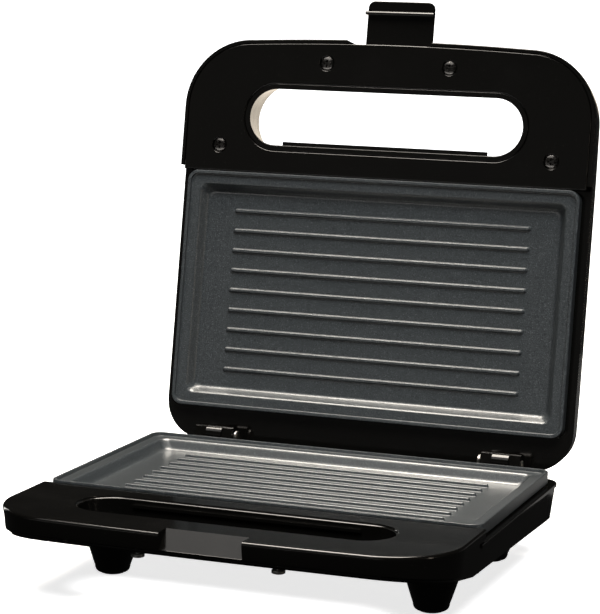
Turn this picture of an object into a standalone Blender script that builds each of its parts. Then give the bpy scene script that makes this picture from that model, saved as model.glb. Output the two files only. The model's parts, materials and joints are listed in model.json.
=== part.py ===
"""Two-slice panini press: hinged lid with a ribbed plate, ribbed lower plate, swing latch.

All dimensions are in millimetres; each finished mesh is scaled to metres. The base is modelled in
press coordinates: X to the right, Y to the back, Z up, with the middle of the lower plate's rim at
the origin. Lid and latch are modelled closed, with Z as the height above the lid's parting plane,
and are then hung on their pivots and opened.
"""

import math

import bmesh
import bpy
from mathutils import Matrix, Vector

# ---- driving dimensions, mm ----
MM = 0.001
GAP = 0.3                    # between pieces that touch
RUNNING = 0.3                # radial clearance round a pin
WALL = 2.2
DRAFT = 0.11                 # how much a side wall leans in for each mm of height

PLATE_WIDTH = 222.0
PLATE_DEPTH = 130.0
PLATE_CORNER = 6.0
PLATE_SKIRT = 6.0            # height of the plate's outer skirt
LIP_WIDTH = 1.8
LIP_DROP = 1.8               # from the lip down to the flange
FLANGE_WIDTH = 5.2
PLATE_FLOOR = 7.5            # depth of the cooking face below the lip
PLATE_THICKNESS = 2.2
RIB_COUNT = 9
RIB_WIDTH = 2.0
RIB_HEIGHT = 1.6
RIB_END_MARGIN = 27.0        # plate's edge to a rib's end
RIB_SIDE_MARGIN = 21.2       # plate's edge to the first rib

RIM_HEIGHT = 48.0            # lower plate's rim above the table
PLATE_GAP = 1.4              # between the two rims when the lid is closed
BASE_MARGIN = 3.2            # base's side beyond the plate's
BACK_MARGIN = 10.0           # base's back beyond the plate's
HANDLE_REACH = 72.0          # handle's front edge beyond the plate's
HANDLE_CORNER = 36.0
HANDLE_BOW = 2.0             # how far the front edge bows forward
BASE_BACK_CORNER = 10.0
SEAM_MARGIN = 6.7            # plate's front edge to the seam between handle and housing
HANDLE_TOP = -1.0
FLOOR_LIP = 1.7              # housing's floor under the handle
BOSS_RADIUS = 4.0            # screw bosses under the handle, which end on that floor
FLOOR_FALL = 4.4             # how much lower the underside is at the back than at the seam
HANDLE_RISE = 11.2           # how much higher the underside is at the handle's front than at the seam

LID_MARGIN = 5.2             # lid's side beyond the plate's
LID_OVERHANG = 3.2           # lid's front edge beyond the base's
LID_BACK_CORNER = 22.0
LID_HEADROOM = 12.4          # lid's top above the heat reflector's pan
LID_FRONT_FALL = 4.0
LID_BACK_FALL = 1.5
LID_RIM_WALL = 2.0
COVER_FACE = 0.4             # handle cover's face above the parting plane
COVER_THICKNESS = 2.2

SLOT_END_MARGIN = 37.2       # lid's side to the end of the finger slot
SLOT_MARGIN = 14.0           # plate's front edge to the finger slot
LID_GRIP = 26.7              # depth of the lid's bar in front of the slot
BASE_GRIP = 26.5
SLOT_RIM = 1.2               # outside of the rim that stands round the lid's slot in the cover's opening
SLOT_LIP = 2.0               # how far that rim's mouth reaches into the slot
SLOT_DRAFT = 0.2             # how much the lid's slot widens outwards for each mm of height
BAR_REACH = 2.0              # how far the bar at a slot's back stands into it
COVER_SCREW_MARGIN = 22.2    # lid's side to the outer screws
COVER_SCREW_INNER = 34.7     # middle to the inner screws
COVER_SCREW_SETBACK = 13.7   # lid's front edge to the inner screws

HINGE_SETBACK = 4.8          # hinge axis behind the base
HINGE_DROP = 2.1             # hinge axis below the lower plate's rim
HINGE_MARGIN = 33.2          # base's side to the middle of a hinge ear
LID_OPEN = 99.3              # degrees from closed to the stop
PIN_RADIUS = 2.0
EAR_WIDTH = 9.0
EAR_RADIUS = 5.4
LUG_WIDTH = 6.0
HEEL_REACH = 9.0

LATCH_HALF_WIDTH = 19.0
LATCH_SETBACK = 9.7          # lid's front edge to the latch's pivot
LATCH_PIVOT_HEIGHT = 9.0     # above the lid's parting plane
LATCH_STANDOFF = 7.8         # pivot to the latch's inner face
LATCH_THICKNESS = 2.2
LATCH_TIP = 7.9              # hook's face to the finger tip
LATCH_PLAY = 2.9             # room under the base's lip, so that the lid can ride up on thick bread
LATCH_OPEN = 90.0            # degrees from closed to the stop
LATCH_PIN_RADIUS = 1.5
RIDGE_DEPTH = 3.4
RIDGE_THICKNESS = 2.0
NOTCH_SIDE_CLEARANCE = 1.5
NOTCH_SETBACK = 10.0         # handle's front edge to the back of the notch
NOTCH_SILL = 1.5             # what is left under the notch

FOOT_MARGIN = 30.8           # base's side to the middle of a foot
FOOT_FRONT_MARGIN = 16.6     # plate's front edge to the middle of a front foot
FOOT_REAR_MARGIN = 20.0      # base's back to the middle of a rear foot
FOOT_TOP_RADIUS = 15.5
FOOT_TIP_RADIUS = 8.2
SPIGOT_RADIUS = 3.9
PAD_RADIUS = 6.2
PAD_STANDS = 0.8             # how far the rubber stands below the foot

ELEMENT_RADIUS = 3.3
ELEMENT_SIDE_MARGIN = 33.0   # plate's edge to the middle of the tube, at the sides
ELEMENT_FRONT_MARGIN = 27.0
ELEMENT_BACK_MARGIN = 24.0
CLAMP_THICKNESS = 1.0
PAN_CLEARANCE = 0.7          # between the clamps and the reflector
REFLECTOR_THICKNESS = 0.8
REFLECTOR_WALL = 5.0
PLATE_SCREW_INSET = 26.0     # element's side to a plate screw
PLATE_SCREW_Y = 6.0
LAMP_X = 14.0
LAMP_MARGIN = 7.0            # plate's front edge to the lamps
GLAND_X = 40.0
GLAND_RISE = 10.9            # cord gland above the underside
GLAND_RADIUS = 5.5

# ---- derived ----
PLATE_FRONT = -PLATE_DEPTH / 2
PLATE_UNDERSIDE = PLATE_FLOOR + PLATE_THICKNESS
RIB_LENGTH = PLATE_WIDTH - 2 * RIB_END_MARGIN
RIB_PITCH = (PLATE_DEPTH - 2 * RIB_SIDE_MARGIN) / (RIB_COUNT - 1)
RIM_STEP = PLATE_SKIRT + 1.0                 # casing's rim below the plate's rim
ELEMENT_CENTRE = PLATE_UNDERSIDE + GAP + ELEMENT_RADIUS
ELEMENT_HALF_WIDTH = PLATE_WIDTH / 2 - ELEMENT_SIDE_MARGIN
ELEMENT_FRONT = PLATE_FRONT + ELEMENT_FRONT_MARGIN
ELEMENT_BACK = -PLATE_FRONT - ELEMENT_BACK_MARGIN
REFLECTOR_DEPTH = ELEMENT_CENTRE + ELEMENT_RADIUS + GAP + CLAMP_THICKNESS + PAN_CLEARANCE
PLATE_SCREW_X = ELEMENT_HALF_WIDTH - PLATE_SCREW_INSET

BASE_HALF_WIDTH = PLATE_WIDTH / 2 + BASE_MARGIN
BASE_BACK = -PLATE_FRONT + BACK_MARGIN
HANDLE_FRONT = PLATE_FRONT - HANDLE_REACH
HANDLE_BACK = PLATE_FRONT - 0.4
SEAM_Y = PLATE_FRONT - SEAM_MARGIN
SEAM_BOTTOM = -REFLECTOR_DEPTH - 2 * WALL    # underside at the seam
BACK_BOTTOM = SEAM_BOTTOM - FLOOR_FALL
LIP_BOTTOM = SEAM_BOTTOM + HANDLE_RISE       # underside at the handle's front
LEDGE_THICKNESS = 1.6
LEDGE_INSET = 5.5            # the ledge under the plate ends this far inside the plate's edge

HINGE_Y = BASE_BACK + HINGE_SETBACK
HINGE_X = BASE_HALF_WIDTH - HINGE_MARGIN
LID_HALF_WIDTH = PLATE_WIDTH / 2 + LID_MARGIN
LID_FRONT = HANDLE_FRONT - LID_OVERHANG
LID_BACK = HINGE_Y + 4.2
LID_HEIGHT = REFLECTOR_DEPTH + LID_HEADROOM
LID_CREST = (PLATE_FRONT - 5.0, LID_BACK - 44.0)    # the lid is highest between these

SLOT_BACK = PLATE_FRONT - SLOT_MARGIN
SLOT_LENGTH = 2 * (LID_HALF_WIDTH - SLOT_END_MARGIN)
LID_SLOT_WIDTH = SLOT_BACK - LID_FRONT - LID_GRIP
BASE_SLOT_WIDTH = SLOT_BACK - HANDLE_FRONT - BASE_GRIP
SLOT_CENTRE_LID = SLOT_BACK - LID_SLOT_WIDTH / 2
SLOT_CENTRE_BASE = SLOT_BACK - BASE_SLOT_WIDTH / 2
SLOT_BAR_HALF = SLOT_LENGTH / 2 - 21.0
OUTER_SCREW = (LID_HALF_WIDTH - COVER_SCREW_MARGIN, SLOT_BACK - 0.4)
INNER_SCREW = (COVER_SCREW_INNER, LID_FRONT + COVER_SCREW_SETBACK)
COVER_SCREWS = (
    (-OUTER_SCREW[0], OUTER_SCREW[1]), (-INNER_SCREW[0], INNER_SCREW[1]), INNER_SCREW, OUTER_SCREW,
)

LATCH_PIVOT_Y = LID_FRONT + LATCH_SETBACK
LATCH_HOOK = LATCH_PIVOT_HEIGHT + PLATE_GAP - LIP_BOTTOM + LATCH_PLAY   # pivot to the hook's face
LATCH_REACH = LATCH_HOOK + LATCH_TIP         # pivot to the tip
NOTCH_HALF_WIDTH = LATCH_HALF_WIDTH + NOTCH_SIDE_CLEARANCE
NOTCH_BACK = HANDLE_FRONT + NOTCH_SETBACK
NOTCH_FLOOR = LIP_BOTTOM + NOTCH_SILL + 1.0

FOOT_X = BASE_HALF_WIDTH - FOOT_MARGIN
FOOT_Y = {"front": PLATE_FRONT + FOOT_FRONT_MARGIN, "rear": BASE_BACK - FOOT_REAR_MARGIN}
LAMP_Y = PLATE_FRONT + LAMP_MARGIN
GLAND_Z = BACK_BOTTOM + GLAND_RISE


# ---- meshes ----
def mesh_object(name, bm):
    bmesh.ops.recalc_face_normals(bm, faces=bm.faces)
    mesh = bpy.data.meshes.new(name)
    bm.to_mesh(mesh)
    bm.free()
    obj = bpy.data.objects.new(name, mesh)
    bpy.context.scene.collection.objects.link(obj)
    return obj


def rungs(bm, ring):
    """Closes a ring that is mirrored about X = 0 with faces that each span it from side to side."""
    def along_y(vert):
        return vert.co.y

    right = sorted((v for v in ring if v.co.x > 1e-6), key=along_y)
    left = sorted((v for v in ring if v.co.x < -1e-6), key=along_y)
    for vert in ring:
        if abs(vert.co.x) <= 1e-6:
            bm.faces.new((vert, right[0], left[0]))
    for i in range(len(right) - 1):
        bm.faces.new((left[i], right[i], right[i + 1], left[i + 1]))


def loft(rings, name="tool", flat_ends=True):
    """A closed solid through rings of equally many points, capped at both ends."""
    bm = bmesh.new()
    rows = [[bm.verts.new(point) for point in ring] for ring in rings]
    count = len(rings[0])
    for lower, upper in zip(rows, rows[1:]):
        for i in range(count):
            j = (i + 1) % count
            bm.faces.new((lower[i], lower[j], upper[j], upper[i]))
    if flat_ends:
        bm.faces.new(rows[0][::-1])
        bm.faces.new(rows[-1])
    else:
        bmesh.ops.triangulate(bm, faces=bm.faces)
        rungs(bm, rows[0])
        rungs(bm, rows[-1])
    return mesh_object(name, bm)


def prism(outline, low, high, axis="Z", name="tool"):
    """An outline pushed from low to high along an axis. Along X the outline is (y, z)."""
    def at(point, level):
        a, b = point
        return {"X": (level, a, b), "Y": (a, level, b), "Z": (a, b, level)}[axis]

    return loft([[at(p, low) for p in outline], [at(p, high) for p in outline]], name)


def block(low, high, name="tool"):
    outline = ((low[0], low[1]), (high[0], low[1]), (high[0], high[1]), (low[0], high[1]))
    return prism(outline, low[2], high[2], "Z", name)


def circle(radius, centre=(0.0, 0.0), sides=20, phase=0.0):
    turn = 2 * math.pi / sides
    return [
        (centre[0] + radius * math.cos(turn * i + phase), centre[1] + radius * math.sin(turn * i + phase))
        for i in range(sides)
    ]


def turned(profile, centre, axis="Z", sides=20, name="tool"):
    """A solid of revolution. The profile is (radius, height) from one end to the other."""
    rings = []
    for radius, height in profile:
        ring = []
        for a, b in circle(radius, sides=sides, phase=math.pi / sides):
            offset = {"X": (height, a, b), "Y": (a, height, b), "Z": (a, b, height)}[axis]
            ring.append(tuple(c + o for c, o in zip(centre, offset)))
        rings.append(ring)
    return loft(rings, name)


def swept(path, radii, sides=8, name="tool"):
    """A round tube along a flat path in X and Y, with one radius for each point."""
    rings = []
    for i, point in enumerate(path):
        ahead = Vector(path[min(i + 1, len(path) - 1)]) - Vector(path[max(i - 1, 0)])
        side = ahead.cross(Vector((0, 0, 1))).normalized()
        up = Vector((0, 0, 1))
        rings.append([
            Vector(point) + radii[i] * (math.cos(a) * side + math.sin(a) * up)
            for a in (2 * math.pi * k / sides + math.pi / sides for k in range(sides))
        ])
    return loft(rings, name)


def boolean(target, tool, operation="DIFFERENCE"):
    """Applies a Boolean to the target and removes the tool."""
    modifier = target.modifiers.new(operation.lower(), "BOOLEAN")
    modifier.operation = operation
    modifier.solver = "EXACT"
    modifier.object = tool
    graph = bpy.context.evaluated_depsgraph_get()
    result = bpy.data.meshes.new_from_object(target.evaluated_get(graph))
    old = target.data
    target.modifiers.clear()
    target.data = result
    result.name = target.name
    bpy.data.meshes.remove(old)
    spent = tool.data
    bpy.data.objects.remove(tool)
    bpy.data.meshes.remove(spent)
    return target


def cut(target, *tools):
    for tool in tools:
        boolean(target, tool, "DIFFERENCE")
    return target


def join(target, *tools):
    for tool in tools:
        boolean(target, tool, "UNION")
    return target


# ---- outlines ----
def arc(centre, radius, start, end, steps):
    return [
        (
            centre[0] + radius * math.cos(math.radians(start + (end - start) * i / steps)),
            centre[1] + radius * math.sin(math.radians(start + (end - start) * i / steps)),
        )
        for i in range(steps + 1)
    ]


def rounded(half_width, front, back, front_corner, back_corner, inset=0.0, bow=0.0, steps=8, stops=()):
    """A rounded rectangle in plan, inset all round, whose front edge may bow forward.

    The stops are places in Y where the long sides also have a point.
    """
    w, f, b = half_width - inset, front + bow + inset, back - inset
    r, s = max(front_corner - inset, 0.8), max(back_corner - inset, 0.8)
    points = [(w, y) for y in stops]
    points += arc((w - s, b - s), s, 0, 90, steps) + arc((-w + s, b - s), s, 90, 180, steps)
    points += [(-w, y) for y in stops[::-1]]
    points += arc((-w + r, f + r), r, 180, 270, steps)
    span = w - r
    if bow:
        for i in range(1, 8):
            x = -span + 2 * span * i / 8
            points.append((x, f - bow * (1 - (x / span) ** 2)))
    return points + arc((w - r, f + r), r, 270, 360, steps)


def base_outline(inset):
    return rounded(
        BASE_HALF_WIDTH, HANDLE_FRONT, BASE_BACK, HANDLE_CORNER, BASE_BACK_CORNER, inset, HANDLE_BOW,
        stops=(SEAM_Y,),
    )


def lid_outline(inset):
    return rounded(
        LID_HALF_WIDTH, LID_FRONT, LID_BACK, HANDLE_CORNER + 1.5, LID_BACK_CORNER, inset, HANDLE_BOW,
        stops=LID_CREST,
    )


def plate_outline(inset, steps=4):
    corner = max(PLATE_CORNER, 4.5 + inset)
    return rounded(
        PLATE_WIDTH / 2, PLATE_FRONT, -PLATE_FRONT, corner, corner, inset, 0.0, steps
    )


def stadium(length, width, centre_y, grow=0.0, steps=10):
    r = width / 2 + grow
    x = length / 2 - width / 2
    return arc((x, centre_y), r, -90, 90, steps) + arc((-x, centre_y), r, 90, 270, steps)


def between(y, points):
    """Height at y on a line through (y, height) points, in order of y."""
    for (y0, h0), (y1, h1) in zip(points, points[1:]):
        if y <= y1 or (y1, h1) == points[-1]:
            return h0 + (h1 - h0) * (y - y0) / (y1 - y0)


def base_bottom(y):
    return between(y, ((HANDLE_FRONT, LIP_BOTTOM), (SEAM_Y, SEAM_BOTTOM), (BASE_BACK, BACK_BOTTOM)))


def lid_top(y):
    line = (
        (LID_FRONT, LID_HEIGHT - LID_FRONT_FALL), (LID_CREST[0], LID_HEIGHT), (LID_CREST[1], LID_HEIGHT),
        (LID_BACK, LID_HEIGHT - LID_BACK_FALL),
    )
    return between(y, line)


def level_loft(outline, levels, surface, name="tool"):
    """A loft whose levels are ("at", z, inset), or ("from", offset, inset) measured from a surface."""
    rings = []
    for kind, value, inset in levels:
        rings.append([
            (x, y, value if kind == "at" else surface(y) + value) for x, y in outline(inset)
        ])
    return loft(rings, name, flat_ends=False)


# ---- the plate with its heating element, shared by base and lid ----
def make_plate(name):
    """The plate in the base's attitude: lip at Z = 0, cooking face below it."""
    slope = LIP_WIDTH + FLANGE_WIDTH
    section = (
        (slope + 4.8, PLATE_FLOOR), (slope + 3.7, PLATE_FLOOR - 0.4), (slope + 3.2, PLATE_FLOOR - 1.2),
        (slope + 1.2, LIP_DROP + 0.8), (slope, LIP_DROP), (LIP_WIDTH + 0.3, LIP_DROP), (LIP_WIDTH, 0.3),
        (LIP_WIDTH - 0.3, 0.0), (0.3, 0.0), (0.0, 0.3), (0.0, PLATE_SKIRT), (LIP_WIDTH - 0.2, PLATE_SKIRT),
        (LIP_WIDTH - 0.1, LIP_DROP + 2.0), (slope - 0.8, LIP_DROP + 2.0), (slope + 3.0, PLATE_UNDERSIDE),
    )
    rings = [[(x, y, -depth) for x, y in plate_outline(inset)] for inset, depth in section]
    plate = loft(rings, name)
    first = -RIB_PITCH * (RIB_COUNT - 1) / 2
    for i in range(RIB_COUNT):
        y = first + i * RIB_PITCH
        foot = stadium(RIB_LENGTH, RIB_WIDTH, y, 0.4, steps=3)
        shoulder = stadium(RIB_LENGTH, RIB_WIDTH, y, 0.0, steps=3)
        crown = stadium(RIB_LENGTH, RIB_WIDTH, y, -0.3, steps=3)
        rib = loft([
            [(x, y, -PLATE_FLOOR - 0.5) for x, y in foot],
            [(x, y, -PLATE_FLOOR + RIB_HEIGHT - 0.4) for x, y in shoulder],
            [(x, y, -PLATE_FLOOR + RIB_HEIGHT) for x, y in crown],
        ])
        join(plate, rib)
    for side in (-1, 1):
        centre = (side * PLATE_SCREW_X, PLATE_SCREW_Y, 0.0)
        join(plate, turned(((4.2, -PLATE_FLOOR - 1), (4.2, -REFLECTOR_DEPTH + GAP)), centre, sides=16))
        cut(plate, turned(((1.7, -PLATE_FLOOR - 3), (1.7, -REFLECTOR_DEPTH - 1)), centre, sides=12))
    return plate


def make_element(name):
    """A sheathed tube element bent to a U, with a cold pin at each end."""
    z = -ELEMENT_CENTRE
    bend = 16.0
    x, front, back = ELEMENT_HALF_WIDTH, ELEMENT_FRONT, ELEMENT_BACK
    left = [(px, py, z) for px, py in arc((-x + bend, front + bend), bend, 180, 270, 6)]
    right = [(px, py, z) for px, py in arc((x - bend, front + bend), bend, 270, 360, 6)]
    tail = ((-x, back + 9, z), (-x, back + 0.6, z), (-x, back, z))
    path = list(tail) + left + right + [(-px, py, pz) for px, py, pz in tail[::-1]]
    radii = [1.2, 1.2] + [ELEMENT_RADIUS] * (len(path) - 4) + [1.2, 1.2]
    return swept(path, radii, 8, name)


def make_clamp(name, side):
    """A bent strap over the element, its two feet against the plate."""
    inner, outer = ELEMENT_RADIUS + GAP, ELEMENT_RADIUS + GAP + CLAMP_THICKNESS
    top = -PLATE_UNDERSIDE - GAP
    z = -ELEMENT_CENTRE
    foot = 6.0
    low = top - CLAMP_THICKNESS
    outline = [(outer + foot, top), (outer + foot, low), (outer, low), (outer, z)]
    outline += [(-px, pz) for px, pz in arc((0.0, z), outer, 180, 360, 8)][1:-1]
    outline += [(-outer, z), (-outer, low), (-outer - foot, low), (-outer - foot, top)]
    outline += [(-inner, top), (-inner, z)]
    outline += arc((0.0, z), inner, 180, 360, 8)[1:-1]
    outline += [(inner, z), (inner, top)]
    outline = [(side * ELEMENT_HALF_WIDTH + px, pz) for px, pz in outline]
    return prism(outline, -4.0, 6.0, "Y", name)


def make_reflector(name):
    """A pressed pan that throws the heat back at the plate."""
    def outline(inset):
        return rounded(PLATE_WIDTH / 2, PLATE_FRONT, -PLATE_FRONT, 22.0, 22.0, 13.0 + inset, 0.0, 5)

    low, t = -REFLECTOR_DEPTH, REFLECTOR_THICKNESS
    levels = (
        (3.0, low), (1.0 + t, low + 0.6), (t, low + 2.0), (t, low + REFLECTOR_WALL), (0.0, low + REFLECTOR_WALL),
        (0.0, low + 1.6), (1.0, low + 0.2 - t), (3.0, low - t),
    )
    pan = loft([[(x, y, z) for x, y in outline(inset)] for inset, z in levels], name)
    for side in (-1, 1):
        centre = (side * PLATE_SCREW_X, PLATE_SCREW_Y, low)
        cut(pan, turned(((1.8, 2.0), (1.8, -3.0)), centre, sides=12))
    return pan


def screw(name, centre, direction, head_radius, shank_radius, length, sides=12):
    """A pan-head screw with a cross recess. The centre is under the head; the shank goes along direction."""
    head = 2.1
    profile = (
        (head_radius * 0.7, -head), (head_radius, -head * 0.45), (head_radius, 0.0), (shank_radius, 0.0),
        (shank_radius, length - 1.2), (shank_radius * 0.3, length),
    )
    profile = tuple((r, h * direction) for r, h in profile)
    body = turned(profile, centre, sides=sides, name=name)
    deep, wide, long = 1.2, 0.45, head_radius * 0.55
    x, y, z = centre
    top, floor = z - direction * (head + 1), z - direction * (head - deep)
    low, high = min(top, floor), max(top, floor)
    cross = block((x - wide, y - long, low), (x + wide, y + long, high))
    join(cross, block((x - long, y - wide, low), (x + long, y + wide, high)))
    return cut(body, cross)


def make_plate_screw(name, side):
    centre = (side * PLATE_SCREW_X, PLATE_SCREW_Y, -REFLECTOR_DEPTH - REFLECTOR_THICKNESS - GAP)
    return screw(name, centre, 1, 3.4, 1.35, 8.0)


def make_heater(prefix):
    """Every piece of one plate unit, in the base's attitude."""
    pieces = [
        (make_plate(prefix + "_plate"), "nonstick"),
        (make_element(prefix + "_heating_element"), "steel"),
        (make_reflector(prefix + "_heat_reflector"), "aluminium"),
    ]
    for side, word in ((-1, "left"), (1, "right")):
        pieces.append((make_clamp(f"{prefix}_element_clamp_{word}", side), "steel"))
        pieces.append((make_plate_screw(f"{prefix}_plate_screw_{word}", side), "steel"))
    return pieces


# ---- base ----
def base_ledge_mouth():
    """Where the plate's pan drops through the housing's ledge."""
    outline = plate_outline(LEDGE_INSET, 4)
    return prism(outline, -RIM_STEP - LEDGE_THICKNESS - 0.2, -RIM_STEP + 5.0)


def make_housing():
    """The base's lower casing, with a floor that runs forward under the handle."""
    def inset_at(z):
        return DRAFT * (HANDLE_TOP - z)

    rim = -RIM_STEP
    outer = level_loft(base_outline, (
        ("at", rim, 0.5), ("at", rim - 0.4, 0.0), ("at", rim - 1.7, 0.0), ("at", rim - 2.2, inset_at(rim - 2)),
        ("from", 1.0, inset_at(BACK_BOTTOM)), ("from", 0.3, inset_at(BACK_BOTTOM) + 0.4),
        ("from", 0.0, inset_at(BACK_BOTTOM) + 1.3),
    ), base_bottom, "base_housing")
    above_floor = [
        (-200.0, base_bottom(-200.0) + FLOOR_LIP), (SEAM_Y + GAP, base_bottom(SEAM_Y + GAP) + FLOOR_LIP),
        (SEAM_Y + GAP, 20.0), (-200.0, 20.0),
    ]
    cut(outer, prism(above_floor, -150.0, 150.0, "X"))
    inside = level_loft(base_outline, (
        ("at", rim - LEDGE_THICKNESS, 0.8 + WALL), ("from", WALL, inset_at(BACK_BOTTOM) + WALL),
    ), base_bottom)
    cut(outer, inside, base_ledge_mouth())
    slot = stadium(SLOT_LENGTH, BASE_SLOT_WIDTH, SLOT_CENTRE_BASE)
    cut(outer, prism(slot, -60.0, 10.0))
    for side in (-1, 1):
        for offset in (-1, 1):
            join(outer, make_lug(side * HINGE_X + offset * (EAR_WIDTH + LUG_WIDTH + 2 * GAP) / 2))
        cut(outer, turned(((PIN_RADIUS + RUNNING, -20), (PIN_RADIUS + RUNNING, 20)),
                          (side * HINGE_X, HINGE_Y, -HINGE_DROP), "X", 16))
        for y in FOOT_Y.values():
            floor = base_bottom(y)
            hole = ((SPIGOT_RADIUS + GAP, floor - 4), (SPIGOT_RADIUS + GAP, floor + 8))
            cut(outer, turned(hole, (side * FOOT_X, y, 0), sides=14))
    for x, y in COVER_SCREWS:
        cut(outer, turned(((1.8, -40), (1.8, 0)), (x, y, 0), sides=12))
    cut(outer, turned(((GLAND_RADIUS + GAP, -8), (GLAND_RADIUS + GAP, 8)), (GLAND_X, BASE_BACK, GLAND_Z), "Y"))
    return outer


def make_lug(x):
    """A hinge lug: a round eye behind the rear wall on a web that roots in the wall."""
    root_y = BASE_BACK - 2.6
    eye = arc((HINGE_Y, -HINGE_DROP), EAR_RADIUS, -52, 120, 7)
    web = [(root_y, -RIM_STEP - 0.4), (root_y, -RIM_STEP - 8.0), (BASE_BACK - 0.8, -RIM_STEP - 8.0)]
    return prism(eye + web, x - LUG_WIDTH / 2, x + LUG_WIDTH / 2, "X")


def notch_tool(grow):
    """The ramp in the handle's front edge where the latch comes down."""
    back, deep = NOTCH_BACK + grow, NOTCH_FLOOR - grow
    foot = back + deep - HANDLE_TOP
    outline = ((back, 5.0), (back, HANDLE_TOP), (foot, deep), (-170.0, deep), (-170.0, 5.0))
    return prism(outline, -NOTCH_HALF_WIDTH - grow, NOTCH_HALF_WIDTH + grow, "X")


def make_handle_cover():
    """The base's handle: a cap whose skirt comes down to the housing's floor."""
    def inset_at(z):
        return DRAFT * (HANDLE_TOP - z)

    top, foot = HANDLE_TOP, FLOOR_LIP + GAP
    cover = level_loft(base_outline, (
        ("at", top, 1.6), ("at", top - 0.35, 0.55), ("at", top - 1.2, 0.0),
        ("from", foot, inset_at(LIP_BOTTOM)),
    ), base_bottom, "base_handle_cover")
    cut(cover, block((-150, HANDLE_BACK, -60), (150, 150, 10)))
    skirt_foot = -RIM_STEP + GAP
    cut(cover, block((-150, SEAM_Y, -60), (150, 150, skirt_foot)))
    inside = level_loft(base_outline, (
        ("at", top - WALL, WALL + 0.4), ("from", foot - 5.0, inset_at(LIP_BOTTOM) + WALL),
    ), base_bottom)
    cut(inside, block((-150, HANDLE_BACK - WALL, -60), (150, 150, 10)))
    slot = stadium(SLOT_LENGTH, BASE_SLOT_WIDTH, SLOT_CENTRE_BASE, WALL)
    cut(inside, prism(slot, -60.0, 10.0), notch_tool(WALL))
    cut(cover, inside)
    cut(cover, prism(stadium(SLOT_LENGTH, BASE_SLOT_WIDTH, SLOT_CENTRE_BASE), -60.0, 10.0), notch_tool(0.0))
    back = SLOT_BACK - BAR_REACH
    bar = block((-SLOT_BAR_HALF, back, top - 4.6), (SLOT_BAR_HALF, SLOT_BACK + 1.0, top - 2.8))
    join(cover, bar)
    for x, y in COVER_SCREWS:
        low = base_bottom(y - BOSS_RADIUS) + foot
        join(cover, turned(((BOSS_RADIUS, low), (BOSS_RADIUS, top - 1.0)), (x, y, 0), sides=16))
        cut(cover, turned(((1.7, low - 3.0), (1.7, top - 3.4)), (x, y, 0), sides=12))
    return cover


def make_handle_screw(name, x, y):
    return screw(name, (x, y, base_bottom(y) - 0.8), 1, 3.2, 1.35, 9.0)


def make_foot(name, x, y):
    """A tapered foot whose top follows the sloping underside, with a spigot above and a pad socket below."""
    def ring(radius, height=None, rise=0.0):
        return [
            (px, py, base_bottom(py) - GAP + rise if height is None else height)
            for px, py in circle(radius, (x, y), 22)
        ]

    tip = -RIM_HEIGHT + PAD_STANDS
    socket = PAD_RADIUS + GAP
    return loft([
        ring(SPIGOT_RADIUS, rise=GAP + WALL - 0.4), ring(SPIGOT_RADIUS), ring(FOOT_TOP_RADIUS),
        ring(FOOT_TIP_RADIUS + 0.5, tip + 2.4), ring(FOOT_TIP_RADIUS - 0.3, tip + 0.6),
        ring(FOOT_TIP_RADIUS - 1.2, tip), ring(socket, tip), ring(socket, tip + 2.4),
    ], name)


def make_pad(name, x, y):
    tip = -RIM_HEIGHT + PAD_STANDS
    profile = ((PAD_RADIUS - 0.5, -RIM_HEIGHT), (PAD_RADIUS, -RIM_HEIGHT + 0.4), (PAD_RADIUS, tip + 2.0))
    return turned(profile, (x, y, 0), sides=16, name=name)


def make_hinge_pin(name, side):
    half = EAR_WIDTH / 2 + LUG_WIDTH + 1.0
    profile = (
        (PIN_RADIUS - 0.4, -half), (PIN_RADIUS, -half + 0.4), (PIN_RADIUS, half), (PIN_RADIUS + 1.2, half),
        (PIN_RADIUS + 1.2, half + 1.0), (PIN_RADIUS + 0.6, half + 1.5),
    )
    profile = tuple((r, -side * h) for r, h in profile)
    return turned(profile, (side * HINGE_X, HINGE_Y, -HINGE_DROP), "X", 16, name)


def make_gland():
    """The bush that the mains lead passes through, gripping the rear wall between its two flanges."""
    taper = DRAFT * (HANDLE_TOP - BACK_BOTTOM)
    inner = BASE_BACK - WALL - taper - GAP
    outer = BASE_BACK - GAP
    r = GLAND_RADIUS
    profile = (
        (r + 1.6, inner - 1.8), (r + 1.6, inner - 0.2), (r, inner - 0.2), (r, outer), (r + 2.0, outer),
        (r + 2.0, outer + 1.4), (r - 0.2, outer + 2.6), (r - 1.4, outer + 8.0),
    )
    gland = turned(profile, (GLAND_X, 0, GLAND_Z), "Y", 18, "cord_gland")
    bore = turned(((3.4, inner - 5), (3.4, outer + 12)), (GLAND_X, 0, GLAND_Z), "Y", 14)
    return cut(gland, bore)


def make_terminal_block():
    """A ceramic block with three wire ways, in front of the housing's rear wall."""
    x, y, z = 2.0, BASE_BACK - 11.0, GLAND_Z
    body = block((x - 15, y - 4.5, z - 5), (x + 15, y + 4.5, z + 5), "terminal_block")
    for i in (-1, 0, 1):
        cut(body, turned(((1.6, -8), (1.6, 8)), (x + 9.0 * i, y, z - 1.5), "Y", 10))
        cut(body, turned(((1.9, 1.0), (1.9, 9.0)), (x + 9.0 * i, y, z), "Z", 10))
    return body


# ---- lid: Z is the height above the parting plane ----
def shell_form(grow, low):
    """The lid's outer form, or its inside when grow is the wall's thickness."""
    if grow:
        levels = (
            ("at", low, 0.7 + grow), ("at", 16.0, 1.7 + grow), ("from", -6.6, 3.0 + 1.1 * grow),
            ("from", -1.4 - grow, 7.3 + grow), ("from", -grow, 15.0 + grow),
        )
    else:
        levels = (
            ("at", low, 0.5), ("at", low + 0.6, 0.0), ("at", 16.0, 1.7), ("from", -6.0, 3.0),
            ("from", -2.6, 4.7), ("from", -0.8, 7.5), ("from", 0.0, 13.0),
        )
    return level_loft(lid_outline, levels, lid_top)


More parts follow.
